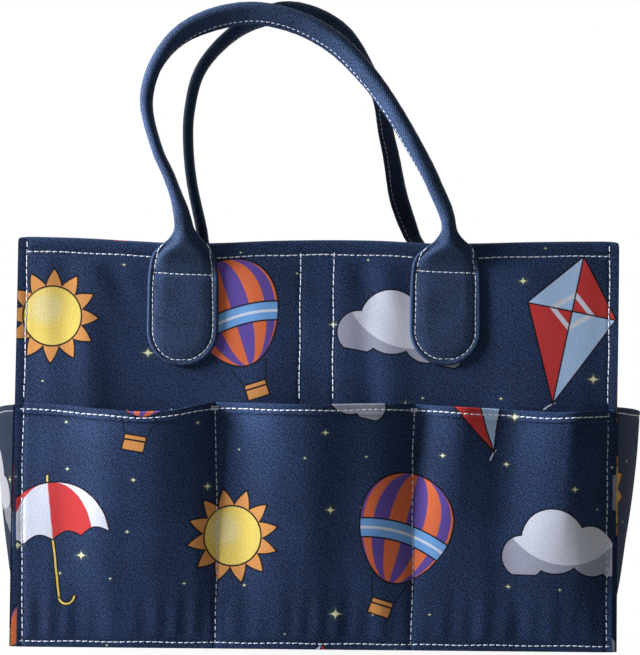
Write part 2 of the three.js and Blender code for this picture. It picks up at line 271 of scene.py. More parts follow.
def sun(under, x, y):
    """A plain round sun with twelve short rays."""
    reach = root(x * x + y * y)
    ray = abs((x.maths("ARCTAN2", y, x) * (12 / math.tau) + 12) % 1 - 0.5)
    rays = (reach - 17.5 - ray * 18) * 0.55
    colour = outlined(under, AMBER, rays)
    colour = outlined(colour, YELLOW, reach - 16.5)
    return ink(colour, (248, 226, 148), disc(x + 4, y - 4, 8.5), 6)


def cloud(under, x, y):
    """A pale cloud of four round heaps on a flat foot, shaded below."""
    heaps = nearer(disc(x + 21, y + 5, 12), disc(x + 4, y - 4, 18), disc(x - 17, y + 1, 14),
                   disc(x - 30, y + 8, 8.5))
    shape = within(heaps, -y - 15)
    colour = outlined(under, CHALK, shape)
    return ink(colour, SMOKE, within(38 - root((x - 3) * (x - 3) + (y - 29) * (y - 29)), shape + OUTLINE))


def umbrella(under, x, y):
    """An open umbrella of red and chalk gores with a scalloped edge and a hooked handle."""
    turn = x / root(within(1024 - (y + 2) * (y + 2), 30))
    scallop = abs(sine(x * (math.pi / 16))) * 3.6
    dome = within(disc(x, y + 2, 32), scallop - y - 2)
    gores = sine(turn.maths("ARCSINE", within(nearer(turn, 0.99), -0.99)) * 4) * 4
    hook = within(abs(disc(x - 4.2, y + 34, 4.2)) - 0.9, y + 34)
    shaft = nearer(within(abs(x) - 0.9, abs(y + 16) - 18), hook)
    point = within(abs(x) - 0.9, abs(y - 31.5) - 3)
    colour = outlined(under, YELLOW, nearer(shaft, point), 0.4)
    colour = outlined(colour, RED, dome)
    return ink(colour, CHALK, within(gores, dome + OUTLINE))


def weave(wire, u, v):
    """The relief of twill, from 0 to 1: slanting ribs of floats, the gaps that cross them from float to
    float, and paler flecks drawn out along the ribs."""
    ribs = sine((u * 0.80 - v * 0.60) * (math.tau / TWILL_PITCH))
    gaps = sine((u * 0.62 + v * 0.78) * (math.tau / TWILL_PITCH))
    across, along = (u - v) / math.sqrt(2), (u + v) / math.sqrt(2)
    drawn_out = wire.node("ShaderNodeCombineXYZ", {0: across, 1: along / FLECK_LENGTH})
    grain = {"Vector": drawn_out, "Scale": FLECK_SCALE, "Detail": 1.0, "Roughness": 0.5}
    fuzz = wire.node("ShaderNodeTexNoise", grain) * 2.6 - 0.8
    return (ribs * 0.3 + gaps * 0.22) * (fuzz * 0.7 + 0.5) + fuzz * 0.62 + 0.19


def finish(name):
    """A new finish: its start wire, its shader and its output."""
    made = bpy.data.materials.new(name)
    made.use_nodes = True
    return made, Wire(made.node_tree), made.node_tree.nodes["Principled BSDF"]


def dress(start, shader, colour, height, roughness, relief, depth):
    """Joins the varying colour, roughness and relief to the shader; depth is the relief's real height."""
    bump = start.node("ShaderNodeBump", {"Strength": relief, "Distance": depth, "Height": height})
    start.tree.links.new(colour.socket, shader.inputs["Base Color"])
    start.tree.links.new(bump.socket, shader.inputs["Normal"])
    if isinstance(roughness, Wire):
        start.tree.links.new(roughness.socket, shader.inputs["Roughness"])
    else:
        shader.inputs["Roughness"].default_value = roughness


def specks(under, cloth):
    """Four-pointed sparkles of many sizes, each in a faint halo."""
    cells = {"Vector": cloth, "Scale": SPECK_SCALE, "Randomness": 0.85}
    nearest = cloth.node("ShaderNodeTexVoronoi", cells, voronoi_dimensions="2D")
    drawn = cloth.node("ShaderNodeSeparateColor", {0: other_output(nearest, 1)})
    offset = cloth.node("ShaderNodeVectorMath", {0: cloth, 1: other_output(nearest, 2)}, operation="SUBTRACT")
    offset = cloth.node("ShaderNodeSeparateXYZ", {0: offset})
    beside, above = abs(offset) * 1000, abs(other_output(offset, 1)) * 1000
    size = drawn * drawn * drawn * 2.4 + 0.8
    far = root(beside * beside * 0.6 + above * above)
    star = (root(beside * above) * 1.5 + far * 0.55) / size
    halo = cloth.maths("MULTIPLY", 1 - far / size * 0.5, 0.75, use_clamp=True)
    colour = blend_colours(halo * halo, under, linear(100, 118, 70))
    glint = cloth.maths("MULTIPLY", 1 - star, 2.4, use_clamp=True)
    return blend_colours(glint, colour, linear(255, 252, 196))


def printed(under, cloth, u, v):
    """The print all over: sparkles, and one motif to a cell, the cells in brick courses."""
    course = v.maths("FLOOR", v / CELL_HEIGHT)
    shifted = u + (course % 2) * (CELL_WIDTH / 2)
    column = u.maths("FLOOR", shifted / CELL_WIDTH)
    angle = sine(column * 1.9 + course * 3.1) * 0.32
    across = shifted % CELL_WIDTH - CELL_WIDTH / 2 + sine(column * 2.3 + course) * 5
    along = v % CELL_HEIGHT - CELL_HEIGHT / 2 + sine(column + course * 2.7) * 4
    turn_x, turn_y = u.maths("COSINE", angle), sine(angle)
    x = (across * turn_x + along * turn_y) / MOTIF_SIZE
    y = (along * turn_x - across * turn_y) / MOTIF_SIZE
    colour = specks(under, cloth)
    choice = (column + course * 2) % 5
    for number, motif in enumerate((balloon, cloud, kite, umbrella, sun)):
        away = (1 - u.maths("COMPARE", choice, number, 0.5)) * FAR_AWAY
        colour = motif(colour, x + away, y)
    return colour


def twill(name, dark, light, wash_scale, wash_floor, roughness, print_over=None):
    """A navy twill: paler weft flecks between dark warp ribs, a little uneven. What print_over prints on it
    is shaded by the weave."""
    made, start, shader = finish(name)
    cloth, u, v = cloth_map(start)
    relief = weave(cloth, u, v)
    wash = start.node("ShaderNodeTexNoise", {"Vector": cloth, "Scale": wash_scale, "Detail": 3.0})
    fleck = relief.maths("ADD", relief * 0.66 + wash * 0.3, -wash_floor, use_clamp=True)
    colour = blend_colours(fleck, linear(*dark), linear(*light))
    if print_over:
        over = {0: print_over(colour, cloth, u, v), 1: relief * 0.3 + 0.8}
        colour = start.node("ShaderNodeVectorMath", over, operation="MULTIPLY")
    dress(start, shader, colour, relief, relief * 0.1 + roughness, 0.42, 0.0002)
    for socket, value in (("Specular IOR Level", 0.22), ("Sheen Weight", 0.01), ("Sheen Roughness", 0.45),
                          ("Sheen Tint", linear(150, 180, 240))):
        shader.inputs[socket].default_value = value
    return made


PRINTED_TWILL = twill("printed twill", NAVY_DARK, NAVY_LIGHT, 22.0, 0.21, 0.74, printed)


def piece(name, vertices, faces, corner_uv, made_of, crease=50):
    """A closed mesh from its vertices, its faces and the cloth place of every face corner. The soft sides
    of the bag lean a little to the right."""
    mesh = bpy.data.meshes.new(name)
    beside = np.abs(vertices[:, 0])
    lean = LEAN * smooth(vertices[:, 2], 0.3 * RIM_Z, RIM_Z) * smooth(beside, LEAN_START, LEAN_FULL)
    vertices = vertices + np.outer(lean, (1, 0, 0))
    mesh.from_pydata(vertices.tolist(), [], faces)
    if corner_uv is not None:
        mesh.uv_layers.new(name="cloth").data.foreach_set("uv", np.asarray(corner_uv, np.float32).ravel())
    solid = bmesh.new()
    solid.from_mesh(mesh)
    if solid.calc_volume(signed=True) < 0:
        bmesh.ops.reverse_faces(solid, faces=solid.faces)
    solid.to_mesh(mesh)
    solid.free()
    mesh.shade_smooth()
    mesh.set_sharp_from_angle(angle=math.radians(crease))
    mesh.materials.append(made_of)
    made = bpy.data.objects.new(name, mesh)
    scene.collection.objects.link(made)
    return made


def skin(name, outer, inner, cloth_uv, made_of, crease=50):
    """Cloth as a closed shell: the grid of points outer, the grid inner behind it, and a strip that joins
    their edges. Both grids are rows by columns by 3, and cloth_uv is rows by columns by 2, in metres."""
    rows, columns = outer.shape[:2]
    count = rows * columns
    index = np.arange(count).reshape(rows, columns)
    quads = np.stack([index[:-1, :-1], index[:-1, 1:], index[1:, 1:], index[1:, :-1]], -1).reshape(-1, 4)
    edge = np.concatenate([index[0, :-1], index[:-1, -1], index[-1, :0:-1], index[:0:-1, 0]])
    ahead = np.roll(edge, -1)
    strip = np.stack([ahead, edge, edge + count, ahead + count], -1)
    faces = np.concatenate([quads, quads[:, ::-1] + count, strip])
    vertices = np.concatenate([outer.reshape(-1, 3), inner.reshape(-1, 3)])
    place = np.concatenate([cloth_uv.reshape(-1, 2)] * 2)
    return piece(name, vertices, faces.tolist(), place[faces.ravel()], made_of, crease)


def declare(made, body, slot, *nodes):
    """Puts a piece on the body that it rides on and hides the solids that it stands for. Its slot, the finish
    it wears, is not used.
    """
    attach(made, body)
    for node in nodes:
        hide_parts(node)


def stations(start, stop, step, lines=()):
    """Places from start to stop, step apart, with five close ones across every sewn line."""
    even = np.linspace(start, stop, max(2, round((stop - start) / step) + 1))
    if not len(lines):
        return even
    close = (np.array(lines)[:, None] + np.array([-2.0, -0.9, 0, 0.9, 2.0]) * MM).ravel()
    close = close[(close > start) & (close < stop)]
    clear = np.abs(even[:, None] - close).min(1) > 0.9 * MM
    clear[[0, -1]] = True
    return np.unique(np.concatenate([even[clear], close]))


def smooth(value, start, stop):
    """A ramp from 0 at start to 1 at stop that leaves and arrives level."""
    share = np.clip((value - start) / (stop - start), 0, 1)
    return share * share * (3 - 2 * share)


def through(places, values, at):
    """A smooth curve through values at places: cubic pieces whose slope at each place is that of the
    chord between its neighbours."""
    places, values = np.array(places, float), np.array(values, float)
    slope = np.gradient(values, places)
    cell = np.clip(np.searchsorted(places, at) - 1, 0, len(places) - 2)
    width = places[cell + 1] - places[cell]
    t = np.clip((at - places[cell]) / width, 0, 1)
    return (values[cell] * (1 + 2 * t) * (1 - t) ** 2 + values[cell + 1] * t * t * (3 - 2 * t)
            + width * t * (1 - t) * (slope[cell] * (1 - t) - slope[cell + 1] * t))


def hump(distance, reach):
    """A smooth rise to 1 where distance is 0, that fades over about two reaches to either side."""
    return np.exp(-(distance / reach) ** 2)


def pulled(distance, depth=0.4 * MM, reach=1.3 * MM):
    """The shallow valley that a row of stitches pulls into the cloth."""
    return -depth * hump(distance, reach)


def rim_height(x):
    """How far the rim of the front wall stands above its even height along x: it dips beside the tabs."""
    places = np.array([-190, -150, -112, -90, -62, -30, 0, 42, 70, 102, 130, 160, 190]) * MM
    rises = np.array([0.7, 0.0, -1.7, -2.6, -2.2, -0.6, 0.2, 0.1, -1.1, -0.8, 0.2, 0.9, 1.3]) * MM
    return through(places, rises, x)


def rim_shift(x, z):
    """How far a point of the front wall moves up with the rim above it."""
    return rim_height(x) * smooth(z, 0.6 * RIM_Z, RIM_Z)


def swell(x, z):
    """How far the wall's cloth stands off its even face: soft upright folds between the seams, slanting
    puckers under the rim, and the valleys along the stitches. The tabs and the pockets press it flat."""
    places = np.array([-190, -184, -172, -159, -146, -130, -112, -60, -50, -39, -25, -10, 5, 20, 30, 40, 48,
                       62, 104, 116, 126, 139, 155, 170, 184, 190]) * MM
    heights = [0.4, 0.5, 0.1, -0.5, 0.6, 0, -0.5, -0.1, 0.4, 0.9, 0.6, 0, 0, 0.1, -0.4, 0.5, 0.7, 0.1, -0.2,
               0.6, 0.9, 1.1, 0.6, 0, 0, 0]
    folds = through(places, heights, x + 0.08 * (z - 0.22))
    folds += 1.7 * hump(x + 0.150, 0.017) * smooth(z, 0.225, 0.175)
    folds += 0.12 * np.sin(x / 0.0055 + z / 0.02) * np.sin(z / 0.017 + x / 0.04)
    puckers = 0.5 * np.sin((x + 0.45 * (z - RIM_Z)) / 0.0042) * hump(z - RIM_Z + 0.026, 0.02)
    puckers *= hump(x + 0.122, 0.022) + 0.8 * hump(x - 0.04, 0.018)
    free = smooth(FIN_X - 8 * MM - np.abs(x), 0, 14 * MM) * smooth(RIM_Z - HEM_STITCH - z, 0, 10 * MM)
    pressed = 1 - 0.9 * np.exp(-((np.abs(x) - TAB_X) / 0.03) ** 4)
    lifted = (0.7 + folds + puckers) * MM * free * pressed * smooth(z, 0.100, 0.150)
    hem = 0.35 * MM * hump(z - RIM_Z + 5 * MM, 3 * MM)
    sewn = pulled(z - RIM_Z + HEM_STITCH) + pulled(np.abs(x) - FIN_X + FIN_STITCH)
    taped = sum(pulled(x - line, 0.3 * MM) for line in TAPE_STITCHES) * smooth(z, 0.12, 0.15)
    return np.maximum(lifted, 0) + hem + sewn + taped * smooth(RIM_Z - z, HEM_STITCH, 2 * HEM_STITCH)


def turned(points, back):
    """The points of the front or right side, or turned half round the upright axis for the other one."""
    return points * np.array([-1, -1, 1]) if back else points


def wall_rows():
    """The way up a wall, over its rim and down the lip: for each row the height, the depth behind the
    face, the cloth's length so far, and the direction that the cloth faces, as depth and height."""
    fold = WALL_DEPTH / 2
    turn_z = RIM_Z - fold
    up = stations(0, turn_z, WALL_STEP, [BOTTOM_STITCH, RIM_Z - HEM_STITCH])
    bend = np.linspace(0, math.pi, 12)[1:]
    down = np.linspace(turn_z, LIP_Z, 5)[1:]
    height = np.concatenate([up, turn_z + fold * np.sin(bend), down])
    depth = np.concatenate([up * 0, fold - fold * np.cos(bend), down * 0 + WALL_DEPTH])
    length = np.concatenate([up, turn_z + fold * bend, turn_z + fold * math.pi + turn_z - down])
    facing = np.concatenate([up * 0, bend, down * 0 + math.pi])
    return height, depth, length, -np.cos(facing), np.sin(facing)


def wall_place(x, row, thickness, swelling):
    """Points of a front wall's cloth, thickness in from its outer face."""
    height, depth, length, face_depth, face_height = (part[:, None] for part in row)
    outside = smooth(face_depth, 0.2, -0.8)
    z = height + rim_shift(x, height) - face_height * thickness
    y = -FACE_Y + depth - face_depth * thickness - swelling * outside
    return np.stack([x + 0 * y, y + 0 * x, z + 0 * x], -1)


def wall_cloth(name, back, cloth_start, node, across, row, place_at, swelling):
    """The cloth of a wall from its places across and its rows; width is that of the flat sheet."""
    outer, inner = place_at(across, row, 0, swelling), place_at(across, row, TWILL, 0.75 * swelling)
    place = np.stack([across + cloth_start[0], row[2][:, None] + cloth_start[1] + 0 * across], -1)
    made = skin(name, turned(outer, back), turned(inner, back), place, PRINTED_TWILL)
    declare(made, "bag", "printed_twill", node)


def wall(name, back, cloth_start, node):
    """A front or back wall. Its cloth narrows over the rim, from the fins to the lip between the sides."""
    row = wall_rows()
    seams = [-FIN_X + FIN_STITCH, *TAPE_STITCHES, FIN_X - FIN_STITCH]
    share = stations(-FIN_X, FIN_X, WALL_STEP, seams) / FIN_X
    half = FIN_X + (LIP_X - FIN_X) * smooth(row[1], 0, 0.6 * WALL_DEPTH)
    x = share[None, :] * half[:, None]
    swelling = swell(x, np.minimum(row[0], RIM_Z)[:, None])
    wall_cloth(name, back, cloth_start, node, x, row, wall_place, swelling)


wall("front_wall_cloth", False, (0.217, 0.060), "front_panel")
wall("back_wall_cloth", True, (0.480, 0.300), "back_panel")

# The side walls: narrower pieces of the same twill. Their upright edges turn outwards behind the edges of
# the front and back walls, and the four corner fins are those edges sewn together.
SIDE_CORNER_Y = FACE_Y - 2 * TWILL
SIDE_LIP_Y = FACE_Y - WALL_DEPTH - LAYER_GAP
SIDE_FIN_X = 190.4 * MM
FIN_TURN = 1.5 * MM


def channel(along, corner, thickness):
    """A side's cloth seen from above: straight, a quarter turn outwards at each corner, then the fin.
    Gives the distance out from the face, the distance across, and how far the cloth still faces out."""
    beyond = np.abs(along) - (corner - FIN_TURN)
    turn = np.clip(beyond / FIN_TURN, 0, math.pi / 2)
    fin = np.maximum(beyond - FIN_TURN * math.pi / 2, 0)
    out = FIN_TURN * (1 - np.cos(turn)) + fin - np.cos(turn) * thickness
    across = np.minimum(np.abs(along), corner - FIN_TURN) + (FIN_TURN + thickness) * np.sin(turn)
    return out, np.sign(along) * across, np.cos(turn)


def half_channel(corner, fin_x):
    """Half the cloth's width in a channel whose fins end at fin_x."""
    return corner - FIN_TURN + FIN_TURN * math.pi / 2 + fin_x - SIDE_X - FIN_TURN


def side_swell(along, z):
    """How far a side wall's cloth stands off its even face."""
    folds = 0.4 * np.sin(along / 0.011 + 0.8 + z / 0.06) + 0.3 * np.sin(along / 0.019 - z / 0.08)
    inside, below = SIDE_CORNER_Y - 6 * MM - np.abs(along), RIM_Z - HEM_STITCH - z
    free = smooth(inside, 0, 14 * MM) * smooth(below, 0, 10 * MM)
    return np.maximum((0.5 + folds) * MM * free, 0) + pulled(z - RIM_Z + HEM_STITCH)


def side_rim_shift(along, z):
    """How far a point of a side wall moves down with the rim above it, which sags in the middle."""
    return -1.1 * MM * (1 - (along / SIDE_CORNER_Y) ** 2) * smooth(z, 0.6 * RIM_Z, RIM_Z)


def side_wall_place(along, row, thickness, swelling):
    """Points of the right wall's cloth, thickness in from its outer face."""
    height, depth, _, face_depth, face_height = (part[:, None] for part in row)
    out, across, facing = channel(along, SIDE_CORNER_Y, -face_depth * thickness)
    x = SIDE_X + out - depth + swelling * facing * smooth(face_depth, 0.2, -0.8)
    z = height + side_rim_shift(across, height) - face_height * thickness
    return np.stack([x, across + 0 * x, z + 0 * x], -1)


def mirrored(half):
    """Places on both sides of the middle, from those on one side, the first of which is the middle."""
    return np.concatenate([-half[:0:-1], half])


def side_wall(name, back, cloth_start, node):
    """A side wall. Its fins stop under the rim, and its cloth goes on over the rim to the lip."""
    row = wall_rows()
    reach = half_channel(SIDE_CORNER_Y, SIDE_FIN_X)
    half = reach + (SIDE_LIP_Y - reach) * smooth(row[1], 0, 0.6 * WALL_DEPTH)
    even = np.linspace(0, 1, 28) * (SIDE_CORNER_Y - 3 * MM)
    share = mirrored(np.concatenate([even, np.linspace(SIDE_CORNER_Y - 2.4 * MM, reach, 12)]) / reach)
    along = share[None, :] * half[:, None]
    swelling = side_swell(along, row[0][:, None])
    wall_cloth(name, back, cloth_start, node, along, row, side_wall_place, swelling)


side_wall("right_wall_cloth", False, (0.700, 0.110), "right_panel")
side_wall("left_wall_cloth", True, (0.950, 0.400), "left_panel")

# The front and back pockets: one strip of doubled twill to a side, hemmed at its mouth, sewn down at both
# ends, along the bottom and at two seams, and full enough between them to stand open.
POCKET_SEAM = 63.1 * MM
POCKET_END = FIN_X - FIN_STITCH
POCKET_SEAMS = (-POCKET_END, -POCKET_SEAM, POCKET_SEAM, POCKET_END)
POCKET_FIN_X = 187.8 * MM
POCKET_CLOTH = 1.2 * MM
POCKET_HEM = 2.0 * MM
POCKET_HEM_STITCH = 4.0 * MM
POCKET_GAPE = 15 * MM
HEM_START, HEM_FULL, MOUTH_ROUNDING = 7.4 * MM, 6.6 * MM, 0.9 * MM
HEM_ROWS = np.array([7.4, 7.0, 6.6, 0.9, 0.6, 0.3, 0.1, 0]) * MM
MOUTH_Z = 0.154

# Each pocket's bulge: shares of the way between its seams, and how far it has swelled there.
LEFT_CROWN = ([0, 0.06, 0.12, 0.2, 0.28, 0.36, 0.44, 0.52, 0.6, 0.66, 0.75, 0.83, 0.91, 0.96, 1],
              [0, 0.04, 0.1, 0.22, 0.43, 0.63, 0.79, 0.91, 0.99, 1, 0.95, 0.84, 0.6, 0.33, 0])
MIDDLE_CROWN = ([0, 0.1, 0.2, 0.3, 0.38, 0.46, 0.53, 0.6, 0.67, 0.75, 0.83, 0.9, 0.96, 1],
                [0, 0.25, 0.64, 0.95, 1.09, 1.12, 1.06, 0.97, 0.88, 0.77, 0.65, 0.5, 0.25, 0])
SLACK_CROWN = ([0, 0.05, 0.13, 0.2, 0.25, 0.3, 0.37, 0.44, 0.51, 0.59, 0.67, 0.75, 0.79, 0.85, 0.92, 1],
               [0, 0.12, 0.5, 0.69, 0.69, 0.59, 0.46, 0.37, 0.42, 0.62, 0.82, 0.97, 1, 0.86, 0.53, 0])
EVEN_CROWN = ([0, 0.08, 0.15, 0.3, 0.45, 0.6, 0.75, 0.86, 0.93, 1],
              [0, 0.27, 0.42, 0.46, 0.54, 0.75, 0.95, 0.8, 0.5, 0])


def mouth_height(x):
    """The height of the pockets' hem along x: it dips between the seams of each end pocket."""
    places = np.array([-190, -160, -135, -108, -85, -72, -63, -47, 0, 40, 63, 78, 116, 156, 172, 190]) * MM
    heights = np.array([153.6, 152.2, 150, 148.5, 150.6, 153.5, 154.8, 154.7, 154.1, 155, 155, 154.1, 152.3,
                        150.8, 151.6, 153]) * MM
    return through(places, heights, x)


def crown(x, start, stop, table):
    """One pocket's bulge along x, from 0 at its seams to 1."""
    share = (x - start) / (stop - start)
    return through(*table, np.clip(share, 0, 1)) * ((share > 0) & (share < 1))


def pocket_bulge(x, v):
    """How far a pocket strip stands off the wall at x and at the share v of its height. The left pocket
    crowns past its middle, the middle one evenly, and the right one has a slack fold under its hem."""
    left = crown(x, -POCKET_END, -POCKET_SEAM, LEFT_CROWN)
    middle = crown(x, -POCKET_SEAM, POCKET_SEAM, MIDDLE_CROWN)
    slack = crown(x - 9 * MM * (v - 0.8), POCKET_SEAM, POCKET_END, SLACK_CROWN)
    even = crown(x, POCKET_SEAM, POCKET_END, EVEN_CROWN)
    form = left + middle + even + (slack - even) * smooth(v, 0.2, 0.7) * (np.abs(x) < POCKET_END)
    full = v ** 0.9 * (1 - 0.1 * smooth(v, 0.9, 1))
    return POCKET_GAPE * np.maximum(form, 0) * full


def pocket_creases(x, v):
    """The small folds of a pocket strip: soft slanting ones, upright ones over the bottom seam, and short
    level puckers along the upright seams."""
    z = v * MOUTH_Z
    beside = np.abs(x[..., None] - np.array(POCKET_SEAMS)).min(-1)
    soft = 0.5 * np.sin(x / 0.0068 + z / 0.05 + 1.2 * np.sin(z / 0.03)) * np.sin(x / 0.027 + 0.6)
    low = 0.34 * np.sin(x / 0.0021 + 0.8 * np.sin(x / 0.013)) * hump(z - 0.012, 0.022)
    low *= 0.4 + 0.6 * np.sin(x / 0.031 + 1) ** 2
    level = 0.16 * np.sin(z / 0.00125 + 9 * np.sin(z / 0.02)) * np.exp(-beside / (4.5 * MM))
    free = smooth(beside, 0, 6 * MM) * smooth(z, 4 * MM, 12 * MM) * smooth(v, 1, 0.94)
    return ((soft * smooth(beside, 4 * MM, 20 * MM) + low) * free + level * smooth(v, 1, 0.97)) * MM


def seam_drift(x, z):
    """How far the pockets' cloth lies aside at x and z, because none of the four seams runs quite true."""
    up = np.array([0, 18, 34, 52, 75, 98, 120, 140, 155]) * MM
    left = through(up, np.array([1.2, 1.5, 1.8, 1.9, 1.7, 1.4, 0.8, 0.0, -0.2]) * MM, z)
    right = through(up, np.array([-1.7, -1.6, -0.8, -0.8, -1.2, -1.5, -1.5, -1.0, -0.8]) * MM, z)
    end = 1.3 * MM * smooth(z, 90 * MM, 20 * MM)
    across = np.clip((x + POCKET_END) / (POCKET_END - POCKET_SEAM), 0, 1)
    middle = np.clip((x + POCKET_SEAM) / (2 * POCKET_SEAM), 0, 1)
    beyond = np.clip((x - POCKET_SEAM) / (POCKET_END - POCKET_SEAM), 0, 1)
    drift = (end + (left - end) * across) * (middle <= 0) + (left + (right - left) * middle) * (middle > 0)
    return drift - right * beyond


def hem_shape(below):
    """The thickness of a pocket's cloth below its mouth, and the share by which its edge is rounded."""
    bow = np.sqrt(np.clip(1 - (1 - below / MOUTH_ROUNDING) ** 2, 0, 1))
    rounded = 0.45 * (1 - bow) * (below < MOUTH_ROUNDING)
    return POCKET_CLOTH + (POCKET_HEM - POCKET_CLOTH) * smooth(below, HEM_START, HEM_FULL), rounded


def pocket_place(x, v, inside):
    """Points of a front pocket strip's outer face, or of its face towards the wall."""
    top = mouth_height(x)
    z = v * top
    thick, rounded = hem_shape(top - z)
    seams = sum(pulled(np.abs(x) - seam, 0.5 * MM, 1.5 * MM) for seam in (POCKET_SEAM, POCKET_END))
    sewn = seams + pulled(top - z - POCKET_HEM_STITCH) + pulled(z - BOTTOM_STITCH)
    stand = LAYER_GAP + pocket_bulge(x, v) + pocket_creases(x, v)
    out = stand + (thick * rounded if inside else thick * (1 - rounded) + sewn)
    return np.stack([x + seam_drift(x, z) + 0 * out, -FACE_Y - out, z + 0 * out], -1)


def pocket_rows(mouth, step):
    """Heights up a pocket, close together at its bottom seam, its hem and its mouth."""
    up = stations(0, mouth, step, [BOTTOM_STITCH, mouth - POCKET_HEM_STITCH])
    return np.union1d(up[up < mouth - 1 * MM], mouth - HEM_ROWS)


def pocket_strip(name, back, cloth_start, node, outer, inner):
    """A pocket strip. Its cloth is measured along its own folds, from the middle of each row."""
    steps = np.linalg.norm(np.diff(outer, axis=1), axis=-1)
    cloth_x = np.concatenate([0 * steps[:, :1], np.cumsum(steps, 1)], 1)
    cloth_x -= cloth_x[:, [cloth_x.shape[1] // 2]]
    place = np.stack([cloth_x + cloth_start[0], outer[..., 2] + cloth_start[1]], -1)
    made = skin(name, turned(outer, back), turned(inner, back), place, PRINTED_TWILL)
    declare(made, "bag", "printed_twill", node)


def face_pockets(name, back, cloth_start, node):
    """The three pockets of the front or the back, as one strip."""
    across = stations(-POCKET_FIN_X, POCKET_FIN_X, 2.2 * MM, POCKET_SEAMS)
    x, v = np.meshgrid(across, pocket_rows(MOUTH_Z, 2.4 * MM) / MOUTH_Z)
    outer, inner = (pocket_place(x, v, inside) for inside in (False, True))
    pocket_strip(name, back, cloth_start, node, outer, inner)


POCKETS_CLOTH = (0.110 + 0.054 + 0.108 * 2, 0.106 * 3 - 0.014)
BACK_POCKETS_CLOTH = (0.246 + 0.123 * 3, 0.106 * 5 - 0.022)
face_pockets("front_pockets_cloth", False, POCKETS_CLOTH, "front_pocket")
face_pockets("back_pockets_cloth", True, BACK_POCKETS_CLOTH, "back_pocket")

# The side pockets: one wide strip each, sewn into the corner fins and along the bottom, that stands out in
# a full round curve at its mouth.
SIDE_POCKET_CORNER_Y = SIDE_CORNER_Y - 1.2 * MM
SIDE_POCKET_FIN_X = 191.4 * MM
SIDE_POCKET_GAPE = {False: 30.5 * MM, True: 26.5 * MM}
SIDE_MOUTH = {False: 0.1543, True: 0.1522}
SIDE_FULLNESS = ([0, 0.08, 0.2, 0.4, 0.6, 0.8, 1], [0, 0.27, 0.47, 0.67, 0.82, 0.93, 1])
FIN_CLOTH = 0.8 * MM


def side_pocket_place(along, v, inside, back=False):
    """Points of the right side pocket's outer face, or of its face towards the wall; with back, those of
    the left one before it is turned round."""
    top = SIDE_MOUTH[back] - 2.5 * MM * np.cos(along / SIDE_POCKET_CORNER_Y * math.pi / 2).clip(0, 1) ** 2
    z = v * top
    fin = smooth(np.abs(along), SIDE_POCKET_CORNER_Y - 4 * MM, SIDE_POCKET_CORNER_Y)
    doubled, rounded = hem_shape(top - z)
    thick = doubled * (1 - fin) + FIN_CLOTH * fin
    turn = np.clip(along / SIDE_POCKET_CORNER_Y, -1, 1) * math.pi / 2
    bulge = SIDE_POCKET_GAPE[back] * np.cos(turn) ** 0.8 * through(*SIDE_FULLNESS, v)
    creases = 0.5 * MM * np.sin(along / 0.0078 + z / 0.05) * np.sin(along / 0.03 + z / 0.03 + 1)
    creases += 0.4 * MM * np.sin(along / 0.0024) * hump(z - 0.012, 0.02)
    free = np.cos(turn) * smooth(z, 4 * MM, 14 * MM) * smooth(v, 1, 0.94)
    sewn = pulled(top - z - POCKET_HEM_STITCH) + pulled(z - BOTTOM_STITCH)
    lift = LAYER_GAP * (1 - fin) + bulge + creases * free + (0 if inside else sewn * (1 - fin))
    inward = thick * (1 - rounded) if inside else thick * rounded
    out, across, _ = channel(along, SIDE_POCKET_CORNER_Y, inward)
    x = SIDE_X + out + lift + POCKET_CLOTH * (1 - fin)
    return np.stack([x, across + 0 * x, z + 0 * x], -1)


def side_pocket(name, back, cloth_start, node):
    """A side pocket with its two fins."""
    span = SIDE_POCKET_CORNER_Y - 2.4 * MM
    fin = np.linspace(span + 0.5 * MM, half_channel(SIDE_POCKET_CORNER_Y, SIDE_POCKET_FIN_X), 12)
    along = mirrored(np.concatenate([span * np.sin(np.linspace(0, math.pi / 2, 40)), fin]))
    mouth = SIDE_MOUTH[back]
    along, v = np.meshgrid(along, pocket_rows(mouth, 2.6 * MM) / mouth)
    outer, inner = (side_pocket_place(along, v, inside, back) for inside in (False, True))
    pocket_strip(name, back, cloth_start, node, outer, inner)


side_pocket("right_pocket_cloth", False, (0.640, 0.700), "right_pocket")
side_pocket("left_pocket_cloth", True, (0.400, 0.060), "left_pocket")

# The bottom: a sheet of the same printed twill, sewn in all round, under a stiff pressed board that keeps
# it flat. The lining is laid on the board.
BASE_X, BASE_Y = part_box("base_panel")[1].x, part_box("base_panel")[1].y


def slab(name, low, high, made_of, slot, node):
    """A flat sheet from corner low to corner high, its edges rounded by drawing in the outermost points."""
    low, high = np.array(low), np.array(high)
    middle = (low + high) / 2
    x, y = np.meshgrid(stations(low[0], high[0], 6 * MM), stations(low[1], high[1], 6 * MM))
    plan = np.stack([x, y], -1)
    share = np.abs(plan - middle[:2]) / (high[:2] - middle[:2])
    rounding = 0.25 * (high[2] - low[2]) * (share.max(-1) > 0.999)
    faces = (np.stack([x, y, z], -1) for z in (high[2] - rounding, low[2] + rounding))
    made = skin(name, *faces, plan + 0.4, made_of, 60)
    declare(made, "bag", slot, node)
    return made


base_cloth = slab("base_cloth", (-BASE_X, -BASE_Y, 0), (BASE_X, BASE_Y, TWILL), PRINTED_TWILL,
                  "printed_twill", "base_panel")


def mottled(name, kind, grain, colours, roughness, relief, depth):
    """A finish whose colour and relief both come from one texture, by its kind and its grain."""
    made, start, shader = finish(name)
    place = start.node("ShaderNodeTexCoord", output=3)
    texture = start.node(kind, {"Vector": place, **grain})
    colour = blend_colours(texture, *(linear(*shade) for shade in colours))
    dress(start, shader, colour, texture, roughness, relief, depth)
    return made


